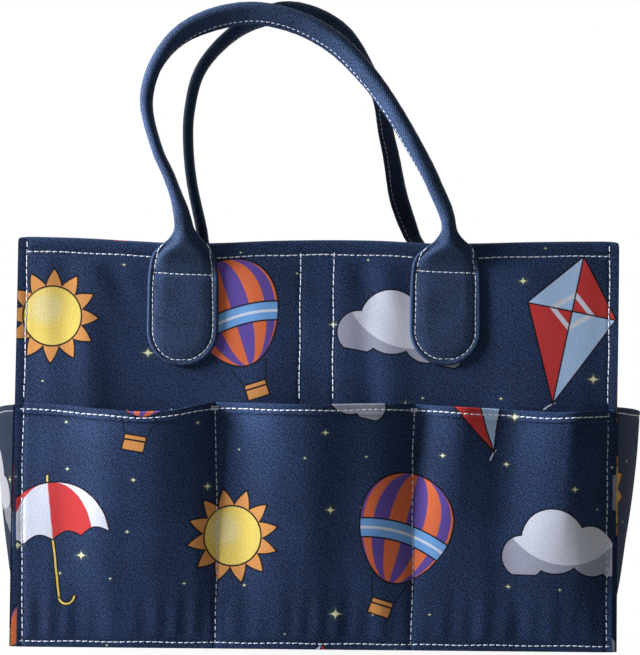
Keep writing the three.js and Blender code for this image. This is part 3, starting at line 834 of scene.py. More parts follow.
PRESSED_BOARD = mottled("pressed board", "ShaderNodeTexNoise", {"Scale": 320.0, "Detail": 4.0},
                        [(176, 170, 160), (206, 200, 190)], 0.8, 0.3, 0.0003)
slab("base_board", *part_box("base_stiffener"), PRESSED_BOARD, "base_board", "base_stiffener")

# The lining: thin plain-woven cloth over the inside of the walls and the floor, its top edges caught under
# the lips of the rim.
LINING_PITCH = 0.7
LINING_TOP = RIM_Z - WALL_DEPTH / 2 - LAYER_GAP
LINING_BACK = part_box("front_lining")[1].y
LINING_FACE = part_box("front_lining")[0].y
SIDE_LINING_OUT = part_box("right_lining")[1].x
SIDE_LINING_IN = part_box("right_lining")[0].x
FLOOR_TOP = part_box("base_lining")[1].z


def lining_finish():
    """Dark blue plain weave: warp and weft of the same thread, crossing over and under."""
    made, start, shader = finish("lining cloth")
    cloth, u, v = cloth_map(start)
    threads = sine(u * (math.tau / LINING_PITCH)) * sine(v * (math.tau / LINING_PITCH)) * 0.3 + 0.5
    fuzz = start.node("ShaderNodeTexNoise", {"Vector": cloth, "Scale": 900.0, "Detail": 3.0})
    relief = threads + fuzz * 0.35 - 0.17
    colour = blend_colours(relief, linear(34, 46, 74), linear(58, 74, 110))
    dress(start, shader, colour, relief, 0.75, 0.45, 0.00012)
    return made


def layer(name, side, half, low_z, depth, made_of, share):
    """A layer inside a wall between two depths behind its face, that follows the wall's folds by share."""
    along, z = np.meshgrid(stations(-half, half, 4 * MM), np.linspace(low_z, LINING_TOP, 60))
    if side in ("front", "back"):
        swelling, up = swell(along, z) * share, z + rim_shift(along, z)
        grids = [np.stack([along, -FACE_Y + d - swelling, up], -1) for d in depth]
    else:
        swelling, up = side_swell(along, z) * share, z + side_rim_shift(along, z)
        grids = [np.stack([SIDE_X - d + swelling, along, up], -1) for d in depth]
    place = np.stack([along + 0.5, z + 0.5], -1)
    return skin(name, *(turned(grid, side in ("back", "left")) for grid in grids), place, made_of, 60)


LINING = lining_finish()
LINING_DEPTH = (LINING_FACE + FACE_Y, LINING_BACK + FACE_Y)
SIDE_LINING_DEPTH = (SIDE_X - SIDE_LINING_OUT, SIDE_X - SIDE_LINING_IN)
for side, half, depth in (("front", SIDE_LINING_OUT, LINING_DEPTH), ("back", SIDE_LINING_OUT, LINING_DEPTH),
                          ("right", -LINING_BACK, SIDE_LINING_DEPTH),
                          ("left", -LINING_BACK, SIDE_LINING_DEPTH)):
    lining = layer(f"{side}_lining_cloth", side, half, FLOOR_TOP, depth, LINING, 0.5)
    declare(lining, "bag", "lining_cloth", f"{side}_lining")
base_lining = slab("base_lining_cloth", *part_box("base_lining"), LINING, "lining_cloth", "base_lining")

# The foam boards that keep the four walls upright: cut from a 3 mm sheet and slid in between the twill
# and the lining.
FOAM_GAP = 0.05 * MM
FOAM = mottled("wall foam", "ShaderNodeTexVoronoi", {"Scale": 1400.0}, [(206, 202, 190), (236, 233, 224)],
               0.85, 0.35, 0.0003)
for side, half, lining_depth in (("front", foam_high.x, LINING_DEPTH), ("back", foam_high.x, LINING_DEPTH),
                                 ("right", side_foam_high.y, SIDE_LINING_DEPTH),
                                 ("left", side_foam_high.y, SIDE_LINING_DEPTH)):
    depth = (TWILL + FOAM_GAP, lining_depth[0] - FOAM_GAP)
    foam = layer(f"{side}_wall_foam", side, half, foam_low.z, depth, FOAM, 0.6)
    declare(foam, "bag", "wall_foam", f"{side}_stiffener")

# The middle of each long wall carries a loop tape, sewn down along both edges, and the divider's two ends
# carry the hook tapes that grip it.


def tape_finish(name, shade, fine):
    """Woven tape with a dense stand of loops or hooks: fine rows of dots on a dark ground."""
    grain = {"Scale": fine, "Randomness": 0.5}
    colours = [shade, [0.4 * part for part in shade]]
    return mottled(name, "ShaderNodeTexVoronoi", grain, colours, 0.7, 0.6, 0.0004)


LOOP_TAPE = tape_finish("loop tape", (52, 66, 98), 1500.0)
HOOK_TAPE = tape_finish("hook tape", (44, 54, 78), 900.0)


def tape(name, node, made_of, slot, body, back):
    """A strip of tape whose long edges are thinner than its middle."""
    low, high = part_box(node)
    x, z = np.meshgrid(np.linspace(low.x, high.x, 12), np.linspace(low.z, high.z, 90))
    thin = smooth(np.abs(x), high.x - 2 * MM, high.x) * 0.35
    near, far = (high.y, low.y) if back else (low.y, high.y)
    inner = np.stack([x, x * 0 + near, z], -1)
    outer = np.stack([x, near + (far - near) * (1 - thin), z], -1)
    made = skin(name, outer, inner, np.stack([x, z], -1) + 0.2, made_of, 60)
    declare(made, body, slot, node)


tape("front_loop_tape_strip", "front_loop_tape", LOOP_TAPE, "loop_tape", "bag", False)
tape("back_loop_tape_strip", "back_loop_tape", LOOP_TAPE, "loop_tape", "bag", True)
tape("divider_front_hook_tape_strip", "divider_front_hook_tape", HOOK_TAPE, "hook_tape", "divider", True)
tape("divider_back_hook_tape_strip", "divider_back_hook_tape", HOOK_TAPE, "hook_tape", "divider", False)

# The divider: a foam board in a sleeve of plain twill without print. Both ends of the sleeve open into
# wings that carry the hook tapes, which hold it between the long walls.
PLAIN_DARK, PLAIN_LIGHT = (10, 15, 23), (86, 114, 158)
PLAIN_TWILL = twill("plain twill", PLAIN_DARK, PLAIN_LIGHT, 60.0, 0.19, 0.72)


def tube(name, rings, made_of, crease=50):
    """A closed solid through rings of points (rows by points by 3), with its cloth place measured round
    each ring from the first point and along the rows."""
    rows, count = rings.shape[:2]
    index = np.arange(rows * count).reshape(rows, count)
    ahead = np.roll(index, -1, 1)
    quads = np.stack([index[:-1], ahead[:-1], ahead[1:], index[1:]], -1).reshape(-1, 4)
    faces = quads.tolist() + [index[0, ::-1].tolist(), index[-1].tolist()]
    closed = np.concatenate([rings, rings[:, :1]], 1)
    around = np.cumsum(np.linalg.norm(np.diff(closed, axis=1), axis=-1), 1)
    around = np.concatenate([around[:, :1] * 0, around], 1)
    around -= around[:, count // 4][:, None]
    steps = np.linalg.norm(np.diff(rings.mean(1), axis=0), axis=-1)
    along = np.concatenate([[0], np.cumsum(steps)])[:, None] + 0 * around
    place = np.stack([around, along], -1) + 0.5
    corner = np.arange(count)
    quad_uv = np.stack([place[:-1, corner], place[:-1, corner + 1], place[1:, corner + 1],
                        place[1:, corner]], 2)
    corner_uv = np.concatenate([quad_uv.reshape(-1, 2), place[0, corner[::-1]], place[-1, corner]])
    return piece(name, rings.reshape(-1, 3), faces, corner_uv, made_of, crease)


divider_low, divider_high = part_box("divider_cover")
DIVIDER_HALF = 2.6 * MM
WING_HALF = divider_high.x
WING_START = divider_high.y - 3 * MM
WING_THICK = 2 * MM
TOP_ROUNDING = 2 * MM
DIVIDER_FOAM_GAP = 0.15 * MM


def divider_rings():
    """Level sections of the divider, narrower over the rounded top edge and slightly bowed between."""
    wing = WING_START + WING_THICK * np.linspace(0, 1, 7)[1:]
    y = np.concatenate([np.linspace(-WING_START, WING_START, 44), wing])
    flare = smooth(np.abs(y), WING_START - 3 * MM, WING_START + 0.6 * MM)
    end_x = np.linspace(WING_HALF, -WING_HALF, 12)[1:-1]
    near_side = np.stack([DIVIDER_HALF + (WING_HALF - DIVIDER_HALF) * flare, y], -1)
    near_side = np.concatenate([[[WING_HALF, -WING_START - WING_THICK]], near_side])
    far_end = np.stack([end_x, end_x * 0 + WING_START + WING_THICK], -1)
    plan = np.concatenate([near_side, far_end, -near_side, -far_end])
    top = divider_high.z - TOP_ROUNDING
    over = divider_high.z - TOP_ROUNDING * (1 - np.sin(np.linspace(0, math.pi / 2, 6)[1:]))
    height = np.concatenate([np.linspace(divider_low.z, top, 60), over])
    over_share = ((height - divider_high.z + TOP_ROUNDING) / (2.02 * MM)).clip(0)
    rounding = np.sqrt(np.clip(1 - over_share ** 2, 0.02, 1))
    thin = 1 - (1 - rounding[:, None]) * (np.abs(plan[:, 0]) < DIVIDER_HALF * 1.05)
    free = np.clip(1 - (plan[:, 1] / WING_START) ** 2, 0, 1) ** 2
    bow = 0.7 * MM * np.sin(height / 0.06)[:, None] * free
    rise = -0.8 * MM * free * smooth(height, 0.1, divider_high.z)[:, None]
    x = plan[:, 0] * thin + bow
    return np.stack([x, plan[:, 1] + 0 * x, height[:, None] + rise], -1)


divider_cloth = tube("divider_cloth", divider_rings(), PLAIN_TWILL, 40)
declare(divider_cloth, "divider", "plain_twill", "divider_cover")


def core_board(name, node):
    """A board of foam that nearly fills the room of its node, with softened edges."""
    low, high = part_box(node)
    y, z = np.meshgrid(np.linspace(low.y, high.y, 40), np.linspace(low.z, high.z, 50))
    edge = np.minimum(np.minimum(y - low.y, high.y - y), np.minimum(z - low.z, high.z - z))
    half = (high.x - low.x) / 2 - DIVIDER_FOAM_GAP - 0.5 * MM * (edge < 1e-6)
    middle = (high.x + low.x) / 2
    faces = (np.stack([middle + out, y, z], -1) for out in (half, -half))
    made = skin(name, *faces, np.stack([y, z], -1) + 0.5, FOAM, 60)
    declare(made, "divider", "wall_foam", node)


core_board("divider_foam", "divider_stiffener")

# The handles: a strip of plain twill folded round a cotton rope and sewn to a narrow lip along one edge,
# flattened at both ends into a padded tab with a round bottom, which is sewn down on the wall.
HINGE_Z = RIM_Z - 1 * MM
HINGE_STAND = 5.6 * MM
TAB_SHIFT = {"front": -1.4 * MM, "back": 0.0}
TAB_SPACING = 166 * MM
TAB_BOTTOM = {"left": tab_low.z - 0.8 * MM, "right": tab_low.z + 1.2 * MM}
TAB_HALF = 22.5 * MM
NECK = {"left": (12.1, 10.4, 9.1, 7.6, 5.9, 5.4), "right": (11.8, 9.9, 8.2, 6.2, 5.4, 5.2)}
TAB_STITCH = 3.5 * MM
TAB_EDGE, TAB_EDGE_ROUNDING = 2.1 * MM, 1.3 * MM
ROW_STEP, NECK_LENGTH = 1.3 * MM, 26 * MM
CROSS_STITCH = {"left": -21.5 * MM, "right": -18.6 * MM}
CROSS_SLANT = 0.045
ROLL_RADIUS, ROLL_BACK = 4.3 * MM, 3.0 * MM
LIP_RADIUS, LIP_OUT = 1.15 * MM, 6.0 * MM
AROUND = 128
FRONT_ARCH = np.array([[-0.985, 0], [-0.998, 0.07], [-1.03, 0.15], [-1.106, 0.277], [-1.195, 0.39],
                       [-1.28, 0.61], [-1.205, 0.77], [-0.99, 0.91], [-0.48, 0.995], [0.08, 0.895],
                       [0.38, 0.72], [0.87, 0.26], [0.99, 0.12], [1.03, 0]])
BACK_ARCH = np.array([[-1, 0], [-1.02, 0.1], [-1.1, 0.31], [-1.12, 0.6], [-1.03, 0.77], [-0.66, 0.94],
                      [-0.26, 1.005], [0.23, 0.92], [0.42, 0.75], [0.6, 0.45], [0.7, 0.24], [0.84, 0.09],
                      [1, 0]])
FRONT_TWIST = ([0, 0.08, 0.2, 0.28, 0.32, 0.36, 0.4, 0.45, 0.6, 0.72, 0.85, 1],
               [90, 88, 84, 77, 66, 48, 28, 8, 14, 44, 60, 90])
BACK_TWIST = ([0, 0.1, 0.25, 0.36, 0.42, 0.47, 0.52, 0.58, 0.64, 0.72, 0.78, 0.84, 0.89, 0.93, 0.96, 1],
              [-82, -80, -76, -70, -58, -25, 5, 24, 38, 49, 46, 36, 24, 33, 52, 90])
DRIFT = {"front": ([0, 0.05, 0.09, 0.17, 0.22, 0.28, 0.34, 0.4, 0.45, 0.5, 0.56, 0.61, 0.645, 0.68, 0.7, 0.75,
                    0.84, 0.88, 0.92, 0.96, 1],
                   [0, 0, -0.3, -0.4, -0.5, -0.1, -0.4, -1.3, -1.3, -0.5, 0, -0.9, -0.4, 0.7, 1.2, 1.9,
                    1.9, 1.4, 0.3, 0.2, 0.4]),
         "back": ([0, 0.05, 0.1, 0.15, 0.22, 0.3, 0.4, 0.5, 0.54, 0.58, 0.61, 0.65, 0.69, 0.72, 0.74, 0.765,
                   0.8, 0.88, 0.93, 0.96, 1],
                  [3.5, 3.5, 3.0, 2.0, 1.8, 2.7, 1.0, 0, -0.9, -2.4, -2.8, -0.6, 2.0, 2.9, 2.2, 1.1, 0.8, 0.3,
                   -0.5, -2, -1.3])}
FRONT_PRESS = ([0, 0.03, 0.05, 0.075, 0.1, 0.2, 0.24, 0.28, 0.35, 0.42, 0.5, 0.65, 0.8, 0.87, 0.94, 0.98, 1],
               [1.35, 1.3, 1.15, 0.93, 0.88, 0.87, 0.98, 1.03, 1.01, 0.96, 0.95, 0.98, 1.02, 1.19, 1.15,
                1.05, 1.1])
BACK_PRESS = ([0, 0.1, 0.3, 0.45, 0.6, 0.75, 0.92, 0.97, 1], [1, 0.88, 0.88, 0.9, 0.95, 1.0, 1.0, 1.05, 1.1])


def roll_radius(angle):
    """The roll's outline as distance from its middle: a round back and a narrow lip, joined by straight
    flanks with a shallow valley where the seam runs. The angle is 0 towards the lip."""
    lean = math.asin((ROLL_RADIUS - LIP_RADIUS) / (ROLL_BACK + LIP_OUT))
    arc_back = np.linspace(math.pi, math.pi / 2 - lean, 60)
    arc_lip = np.linspace(math.pi / 2 - lean, 0, 40)
    back = np.stack([ROLL_RADIUS * np.cos(arc_back) - ROLL_BACK, ROLL_RADIUS * np.sin(arc_back)], -1)
    lip = np.stack([LIP_RADIUS * np.cos(arc_lip) + LIP_OUT, LIP_RADIUS * np.sin(arc_lip)], -1)
    flank = back[-1] + (lip[0] - back[-1]) * np.linspace(0, 1, 42)[1:-1, None]
    outline = np.concatenate([back, flank, lip])
    outline[:, 1] -= 0.4 * MM * hump(outline[:, 0] - LIP_OUT + 0.9 * MM, 0.9 * MM)
    polar = np.arctan2(outline[:, 1], outline[:, 0])
    folded = np.abs((angle + math.pi) % math.tau - math.pi)
    return np.interp(folded, polar[::-1], np.hypot(*outline.T)[::-1])


def tab_half(w, side):
    """Half the width of a tab or neck, w above the bending line."""
    places = np.array([-60, -39, -20, -12, -6.7, -3.1, 0, 2.8, 5.8, 10, 15, 20]) * MM
    bottom = TAB_BOTTOM[side] - HINGE_Z
    below = np.clip(1 - (w - bottom) / TAB_HALF, 0, 1)
    widths = np.array([22.5, 22.5, 21.8, 20.6, 18.4, 15, *NECK[side]]) * MM
    return through(places, widths, w) * np.sqrt(1 - below ** 2)


def tab_edge(a, w, side):
    """How far a point of the tab lies inside its outline."""
    centre = TAB_BOTTOM[side] - HINGE_Z + TAB_HALF
    slope = np.gradient(tab_half(w, side)[:, 0], w[:, 0])[:, None]
    straight = (tab_half(w, side) - np.abs(a)) / np.sqrt(1 + np.clip(slope, -1.5, 1.5) ** 2)
    return np.where(w < centre, TAB_HALF - np.hypot(a, w - centre), straight)


def tab_front(a, w, side):
    """How far the tab's front stands off its own back: a rounded edge, the valley of the stitches, a flat
    pad below the cross seam and the puffed neck above it."""
    q = np.maximum(tab_edge(a, w, side), 0)
    inward = np.minimum(q, TAB_EDGE_ROUNDING) / TAB_EDGE_ROUNDING
    edge = TAB_EDGE * np.sqrt(np.clip(1 - (1 - inward) ** 2, 0, 1))
    groove = -0.55 * MM * hump(q - TAB_STITCH, 1.0 * MM) * smooth(w, -2 * MM, -8 * MM)
    pad = 0.7 * MM * smooth(q, TAB_STITCH, 11 * MM)
    cross = w - CROSS_STITCH[side] + CROSS_SLANT * a
    seam = -0.75 * MM * hump(cross, 1.4 * MM) * smooth(q, 0.5 * MM, 3 * MM)
    puff = 2.9 * MM * smooth(cross, 0, 15 * MM) * smooth(q, 1.5 * MM, 8 * MM)
    wave = 0.12 * MM * np.sin(w / 0.0052 + a / 0.017) * np.sin(a / 0.0085 + 1) * smooth(q, 3 * MM, 9 * MM)
    return edge + groove + pad + seam + puff + wave


def handle_path(arch, rise, shift, drift):
    """The handle's middle line from the bottom of the left tab, up and over, to that of the right one, as
    a smooth curve through the arch's points. For each row: x, z, the direction in x and z, w above the
    bending line, and the share of the arch, which is 0 all down the left tab and 1 down the right."""
    points = arch * (TAB_SPACING / 2, rise) + (shift, HINGE_Z)
    knots = np.concatenate([[0], np.cumsum(np.hypot(*np.diff(points, axis=0).T) ** 0.5)])
    fine = np.linspace(0, knots[-1], 4000)
    dense = np.stack([through(knots, points[:, 0], fine), through(knots, points[:, 1], fine)], -1)
    length = np.concatenate([[0], np.cumsum(np.hypot(*np.diff(dense, axis=0).T))])
    total = length[-1]
    near = np.arange(0, NECK_LENGTH, ROW_STEP)
    at = np.concatenate([near, np.linspace(NECK_LENGTH, total - NECK_LENGTH, 150), total - near[::-1]])
    line = np.stack([np.interp(at, length, dense[:, 0]), np.interp(at, length, dense[:, 1])], -1)
    tangent = np.gradient(line, at, axis=0)
    w = np.minimum(at, total - at)
    straight = np.stack([at * 0, np.where(at < total / 2, 1.0, -1.0)], -1)
    tangent = straight + (tangent - straight) * smooth(w, 0, 22 * MM)[:, None]
    tangent /= np.hypot(*tangent.T)[:, None]
    line[:, 0] += through(*drift, at / total) * MM * smooth(w, 0, 12 * MM)
    rows = []
    for side, sign in (("left", -1), ("right", 1)):
        bottom = TAB_BOTTOM[side]
        turn = np.linspace(0.04, math.pi / 2, 22)
        z = np.concatenate([bottom + TAB_HALF * (1 - np.cos(turn)),
                            np.arange(bottom + TAB_HALF + ROW_STEP, HINGE_Z - 0.6 * MM, ROW_STEP)])
        tab_x = shift + sign * TAB_SPACING / 2
        end_x = points[0 if sign < 0 else -1, 0]
        x = tab_x + (end_x - tab_x) * smooth(z, HINGE_Z - 12 * MM, HINGE_Z)
        part = np.stack([x, z, z * 0, z * 0 - sign, z - HINGE_Z, z * 0 + (sign > 0)], -1)
        rows.append(part if sign < 0 else part[::-1])
    middle = np.stack([*line.T, *tangent.T, w, at / total], -1)
    return np.concatenate([rows[0], middle, rows[1]])


def lip_angle(twist, share):
    """The way that the lip points at a share of the arch, as an angle round the roll."""
    return math.pi + np.radians(through(*twist, share))


def handle_rings(side, arch, rise, twist, press, facing):
    """The handle's sections, the first point of each towards the outside of the arch, and their path. A
    tab's section turns into the roll's over the neck. The roll's lip turns from the back of the necks into
    the arch, and where press is over 1 the roll is pressed broader across its lip."""
    path = handle_path(arch, rise, TAB_SHIFT[side], DRIFT[side])
    x, z, run_x, run_z, w, share = (part[:, None] for part in path.T)
    turn = np.linspace(0, math.tau, AROUND, endpoint=False)[None, :]
    front = np.sin(turn) > -1e-9
    behind = 0.25 * MM + 3.1 * MM * smooth(w, -15 * MM, 1 * MM)
    flat_back = -0.9 * MM * smooth(w, -9 * MM, 3 * MM) * np.sqrt(np.clip(1 - np.cos(turn) ** 2, 0, 1))
    sheets = []
    for tab, sign in (("left", -1), ("right", 1)):
        a = tab_half(w, tab) * np.cos(turn)
        sheets.append((a, behind + np.where(front, tab_front(a * sign, w, tab), flat_back)))
    tab_a, tab_d = (np.where(share < 0.5, on_left, on_right) for on_left, on_right in zip(*sheets))
    lip = lip_angle(twist, share)
    wrinkle = 1 + 0.012 * np.sin(share * 330 + 2 * np.sin(turn)) * np.sin(share * 71 + turn)
    broad = through(*press, share)
    reach = roll_radius(turn - lip) * wrinkle
    outward, sideways = reach * np.cos(turn - lip) / broad ** 0.5, reach * np.sin(turn - lip) * broad
    roll_a = outward * np.cos(lip) - sideways * np.sin(lip)
    roll_d = HINGE_STAND + outward * np.sin(lip) + sideways * np.cos(lip)
    rolled = smooth(w, -4 * MM, 15 * MM)
    across = tab_a + (roll_a - tab_a) * rolled
    out = tab_d + (roll_d - tab_d) * rolled
    return np.stack([x - run_z * across, facing * (FACE_Y + out), z + run_x * across], -1), path


def bend(made, side, facing):
    """Bakes the placement of a handle piece, which runs over the neck from the tab on the bag to the roll,
    into its mesh.
    """
    hinge = Vector((0, facing * (FACE_Y + HINGE_STAND), HINGE_Z))
    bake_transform(made)


def handle(side, arch, rise, twist, press, facing):
    """The cloth of a handle with both its tabs."""
    rings, _ = handle_rings(side, arch, rise, twist, press, facing)
    made = tube(f"{side}_handle_cloth", rings, PLAIN_TWILL, 60)
    bend(made, side, facing)
    for node in (f"{side}_handle_cover", f"{side}_left_tab", f"{side}_right_tab"):
        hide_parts(node)


HANDLES = (("front", FRONT_ARCH, 144.6 * MM, FRONT_TWIST, FRONT_PRESS, -1),
           ("back", BACK_ARCH, 176.6 * MM, BACK_TWIST, BACK_PRESS, 1))
for shape in HANDLES:
    handle(*shape)

# Inside each handle's roll lies a twisted cotton rope that keeps it round, and inside each tab a pad of
# stiff foam, cut to the tab's outline.
CORE_RADIUS = 2.6 * MM
CORE_START = 19 * MM
ROPE_LAY = 3.2
PAD_INSET, PAD_NEAR, PAD_FAR = 4.6 * MM, 0.5 * MM, 1.7 * MM


def rope_finish():
    """Natural white cotton, the lay of its strands as slanting ridges."""
    made, start, shader = finish("cotton rope")
    _, u, v = cloth_map(start)
    lay = sine((u + v) * (math.tau / ROPE_LAY)) * 0.5 + 0.5
    colour = blend_colours(lay, linear(196, 188, 170), linear(232, 226, 212))
    dress(start, shader, colour, lay, 0.85, 0.6, 0.0006)
    return made


ROPE = rope_finish()


def handle_core(side, arch, rise, twist, press, facing):
    """The rope: round, in the round back of the roll, from neck to neck."""
    path = handle_path(arch, rise, TAB_SHIFT[side], DRIFT[side])
    path = path[(path[:, 4] > CORE_START)]
    x, z, run_x, run_z, _, share = (part[:, None] for part in path.T)
    turn = np.linspace(0, math.tau, 24, endpoint=False)[None, :]
    lip = lip_angle(twist, share)
    across = CORE_RADIUS * np.cos(turn) - ROLL_BACK * np.cos(lip)
    out = HINGE_STAND + CORE_RADIUS * np.sin(turn) - ROLL_BACK * np.sin(lip)
    rings = np.stack([x - run_z * across, facing * (FACE_Y + out), z + run_x * across], -1)
    made = tube(f"{side}_handle_rope", rings, ROPE)
    declare(made, f"{side}_handle", "rope_core", f"{side}_handle_core")


def tab_pad(side, tab, facing):
    """The pad: the tab's outline drawn in all round, 1.2 mm thick."""
    bottom = TAB_BOTTOM[tab] + PAD_INSET
    half = TAB_HALF - PAD_INSET
    turn = np.linspace(0.05, math.pi / 2, 14)
    top = HINGE_Z - 6 * MM
    z = np.concatenate([bottom + half * (1 - np.cos(turn)), np.linspace(bottom + half, top, 30)[1:]])
    angle = np.arccos(np.clip(1 - (z - bottom) / half, -1, 1))
    width = np.minimum(half * np.sin(np.clip(angle, 0.05, math.pi / 2)),
                       tab_half(z - HINGE_Z, tab) - PAD_INSET)
    middle = TAB_SHIFT[side] + TAB_SPACING / 2 * (1 if tab == "right" else -1)
    x = middle + width[:, None] * np.linspace(-1, 1, 16)[None, :]
    flat = np.stack([x, x * 0, z[:, None] + 0 * x], -1)
    faces = (flat + (0, facing * (FACE_Y + out), 0) for out in (PAD_FAR, PAD_NEAR))
    made = skin(f"{side}_{tab}_tab_foam", *faces, flat[..., ::2] + 0.5, FOAM, 60)
    declare(made, "bag", "wall_foam", f"{side}_{tab}_tab_pad")


for shape in HANDLES:
    handle_core(*shape)
    for tab in ("left", "right"):
        tab_pad(shape[0], tab, shape[-1])

# The sewing: white polyester thread in straight lockstitch, most stitches 3 to 4 mm long, with short gaps
# where the thread dips into the cloth.
STITCH_PITCH = 3.6 * MM
STITCH_GAP = 0.45 * MM
SEAM_PITCH = 4.4 * MM
HEM_PITCH = 4.0 * MM
THREAD_RADIUS = 0.34 * MM
HANDLE_THREAD = 0.29 * MM
SEAM_TOP = 0.1512
BAR_HALF = 2.4 * MM
LIP_SEAM_IN, LIP_SEAM_OUT = 0.9 * MM, 1.5 * MM

# Polyester thread, the lay of its plies across each stitch.
THREAD = mottled("white thread", "ShaderNodeTexNoise", {"Scale": 2600.0, "Detail": 2.0},
                 [(222, 226, 236), (253, 254, 255)], 0.5, 0.3, 0.0001)
draw = np.random.default_rng(7)


def stitched(points, outward, pitch=STITCH_PITCH, gap=STITCH_GAP):
    """Places stitches along a run of points on the cloth, with the direction away from the cloth at each.
    Gives each stitch's middle, its direction, the direction away from the cloth and its length, as one row
    of ten."""
    length = pitch - gap
    points = np.asarray(points, float)
    outward = np.broadcast_to(np.asarray(outward, float), points.shape)
    far = np.concatenate([[0], np.cumsum(np.linalg.norm(np.diff(points, axis=0), axis=1))])
    count = max(1, round(far[-1] / pitch))
    at = (np.arange(count) + 0.5) * far[-1] / count
    at = at + draw.uniform(-0.06, 0.06, count) * pitch

    def pick(places, values):
        return np.stack([np.interp(places, far, part) for part in values.T], -1)

    ahead = pick(at + 0.3 * length, points) - pick(at - 0.3 * length, points)
    ahead /= np.linalg.norm(ahead, axis=1)[:, None]
    away = pick(at, outward)
    away -= (away * ahead).sum(1)[:, None] * ahead
    away /= np.linalg.norm(away, axis=1)[:, None]
    side = np.cross(away, ahead)
    ahead += side * (0.05 + draw.normal(0, 0.035, count))[:, None]
    aside = side * (0.2 * MM * np.sin(at / (7 * MM) + draw.uniform(0, 6)))[:, None]
    lengths = length * draw.uniform(0.9, 1.06, count)[:, None]
    return np.concatenate([pick(at, points) + away * 0.1 * MM + aside, ahead, away, lengths], 1)


def sewing(name, runs, radius=THREAD_RADIUS):
    """All the stitches of a piece as one mesh: each a six-sided thread whose ends dip into the cloth."""
    made_up = np.concatenate(runs)
    middle, ahead, away, length = (part[:, None, None] for part in np.split(made_up, [3, 6, 9], 1))
    side = np.cross(away, ahead)
    along = np.array([-0.5, -0.46, -0.34, 0.34, 0.46, 0.5])[:, None, None] * length
    thick = np.array([0.35, 0.82, 1.0, 1.0, 0.82, 0.35])[:, None, None] * radius
    dip = np.array([-1.5, -0.5, 0, 0, -0.5, -1.5])[:, None, None] * radius
    turn = np.linspace(0, math.tau, 6, endpoint=False)[None, :, None]
    place = middle + ahead * along + away * (thick * np.sin(turn) * 0.85 + dip) + side * thick * np.cos(turn)
    index = np.arange(36).reshape(6, 6)
    beside = np.roll(index, -1, 1)
    quads = np.stack([index[:-1], beside[:-1], beside[1:], index[1:]], -1).reshape(-1, 4)
    starts = np.arange(len(made_up))[:, None] * 36
    sides = (quads[None] + starts[:, :, None]).reshape(-1, 4).tolist()
    ends = np.concatenate([index[0, ::-1] + starts, index[-1] + starts]).tolist()
    return piece(name, place.reshape(-1, 3), sides + ends, None, THREAD, 60)


def line_on(place, start, stop, count=160):
    """Points of the surface that place gives, between two (across, up) corners of a seam, and the
    directions away from it."""
    share = np.linspace(0, 1, count)
    u = start[0] + (stop[0] - start[0]) * share
    v = start[1] + (stop[1] - start[1]) * share
    here = place(u, v)
    step = 0.4 * MM
    across = place(u + step, v) - place(u - step, v)
    upward = place(u, v + step) - place(u, v - step)
    away = np.cross(across, upward)
    return here, away / np.linalg.norm(away, axis=1)[:, None]


def on_wall(x, z):
    """A point on the front wall's outer face."""
    return np.stack([x, -FACE_Y - swell(x, z), z + rim_shift(x, z)], -1)


def on_side_wall(y, z):
    """A point on the right wall's outer face, short of the corner turns."""
    return np.stack([SIDE_X + side_swell(y, z), y, z + side_rim_shift(y, z)], -1)


def on_pocket(x, z):
    """A point on the front pockets' outer face."""
    return pocket_place(x, z / mouth_height(x), False)


def both_sides(run, back):
    """A run of points and their outward directions, turned half round for the other wall."""
    points, away = run
    return turned(points, back), turned(away, back)


FIN_SEAM = FIN_X - FIN_STITCH
TAB_GAP = TAB_HALF - 2.2 * MM


def wall_runs(side, back):
    """The sewing of a front or back wall with its pockets: under the rim between the tabs, down the fins,
    along the pockets' mouth and seams, along the bottom, and beside the loop tape."""
    hem = RIM_Z - HEM_STITCH
    mirror = -1 if back else 1
    low, high = sorted(mirror * (TAB_SHIFT[side] + sign * TAB_SPACING / 2) for sign in (-1, 1))
    runs = []

    def sew(run, pitch, gap=STITCH_GAP):
        runs.append(stitched(*both_sides(run, back), pitch, gap))

    spans = ((-FIN_SEAM, low - TAB_GAP), (low + TAB_GAP, high - TAB_GAP), (high + TAB_GAP, FIN_SEAM))
    for start, stop in spans:
        sew(line_on(on_wall, (start, hem), (stop, hem)), HEM_PITCH)
    for x in (-FIN_SEAM, FIN_SEAM):
        sew(line_on(on_wall, (x, SEAM_TOP + 5 * MM), (x, RIM_Z - 3 * MM)), SEAM_PITCH)
    for x in TAPE_STITCHES:
        sew(line_on(on_wall, (x, SEAM_TOP + 6 * MM), (x, hem + 2 * MM)), SEAM_PITCH)

    def by_mouth(x, rise=0):
        """Points of the pockets on the stitch line under their mouth, or rise above it."""
        return on_pocket(x, mouth_height(x) - POCKET_HEM_STITCH + rise)

    x = np.linspace(-POCKET_FIN_X + 1 * MM, POCKET_FIN_X - 1 * MM, 500)
    step = 0.5 * MM
    away = np.cross(by_mouth(x + step) - by_mouth(x - step), by_mouth(x, step) - by_mouth(x, -step))
    sew((by_mouth(x), away), HEM_PITCH)
    for seam in POCKET_SEAMS:
        sew(line_on(on_pocket, (seam, 2 * MM), (seam, SEAM_TOP)), SEAM_PITCH, 1 * MM)
    sew(line_on(on_pocket, (x[0], BOTTOM_STITCH), (x[-1], BOTTOM_STITCH), 500), HEM_PITCH)
    for seam in (-POCKET_SEAM, POCKET_SEAM):
        for row in (-0.8, 0, 0.8):
            height = SEAM_TOP + row * MM
            bar = line_on(on_pocket, (seam - BAR_HALF, height), (seam + BAR_HALF, height), 12)
            sew(bar, 2.4 * MM, 0.3 * MM)
    return runs


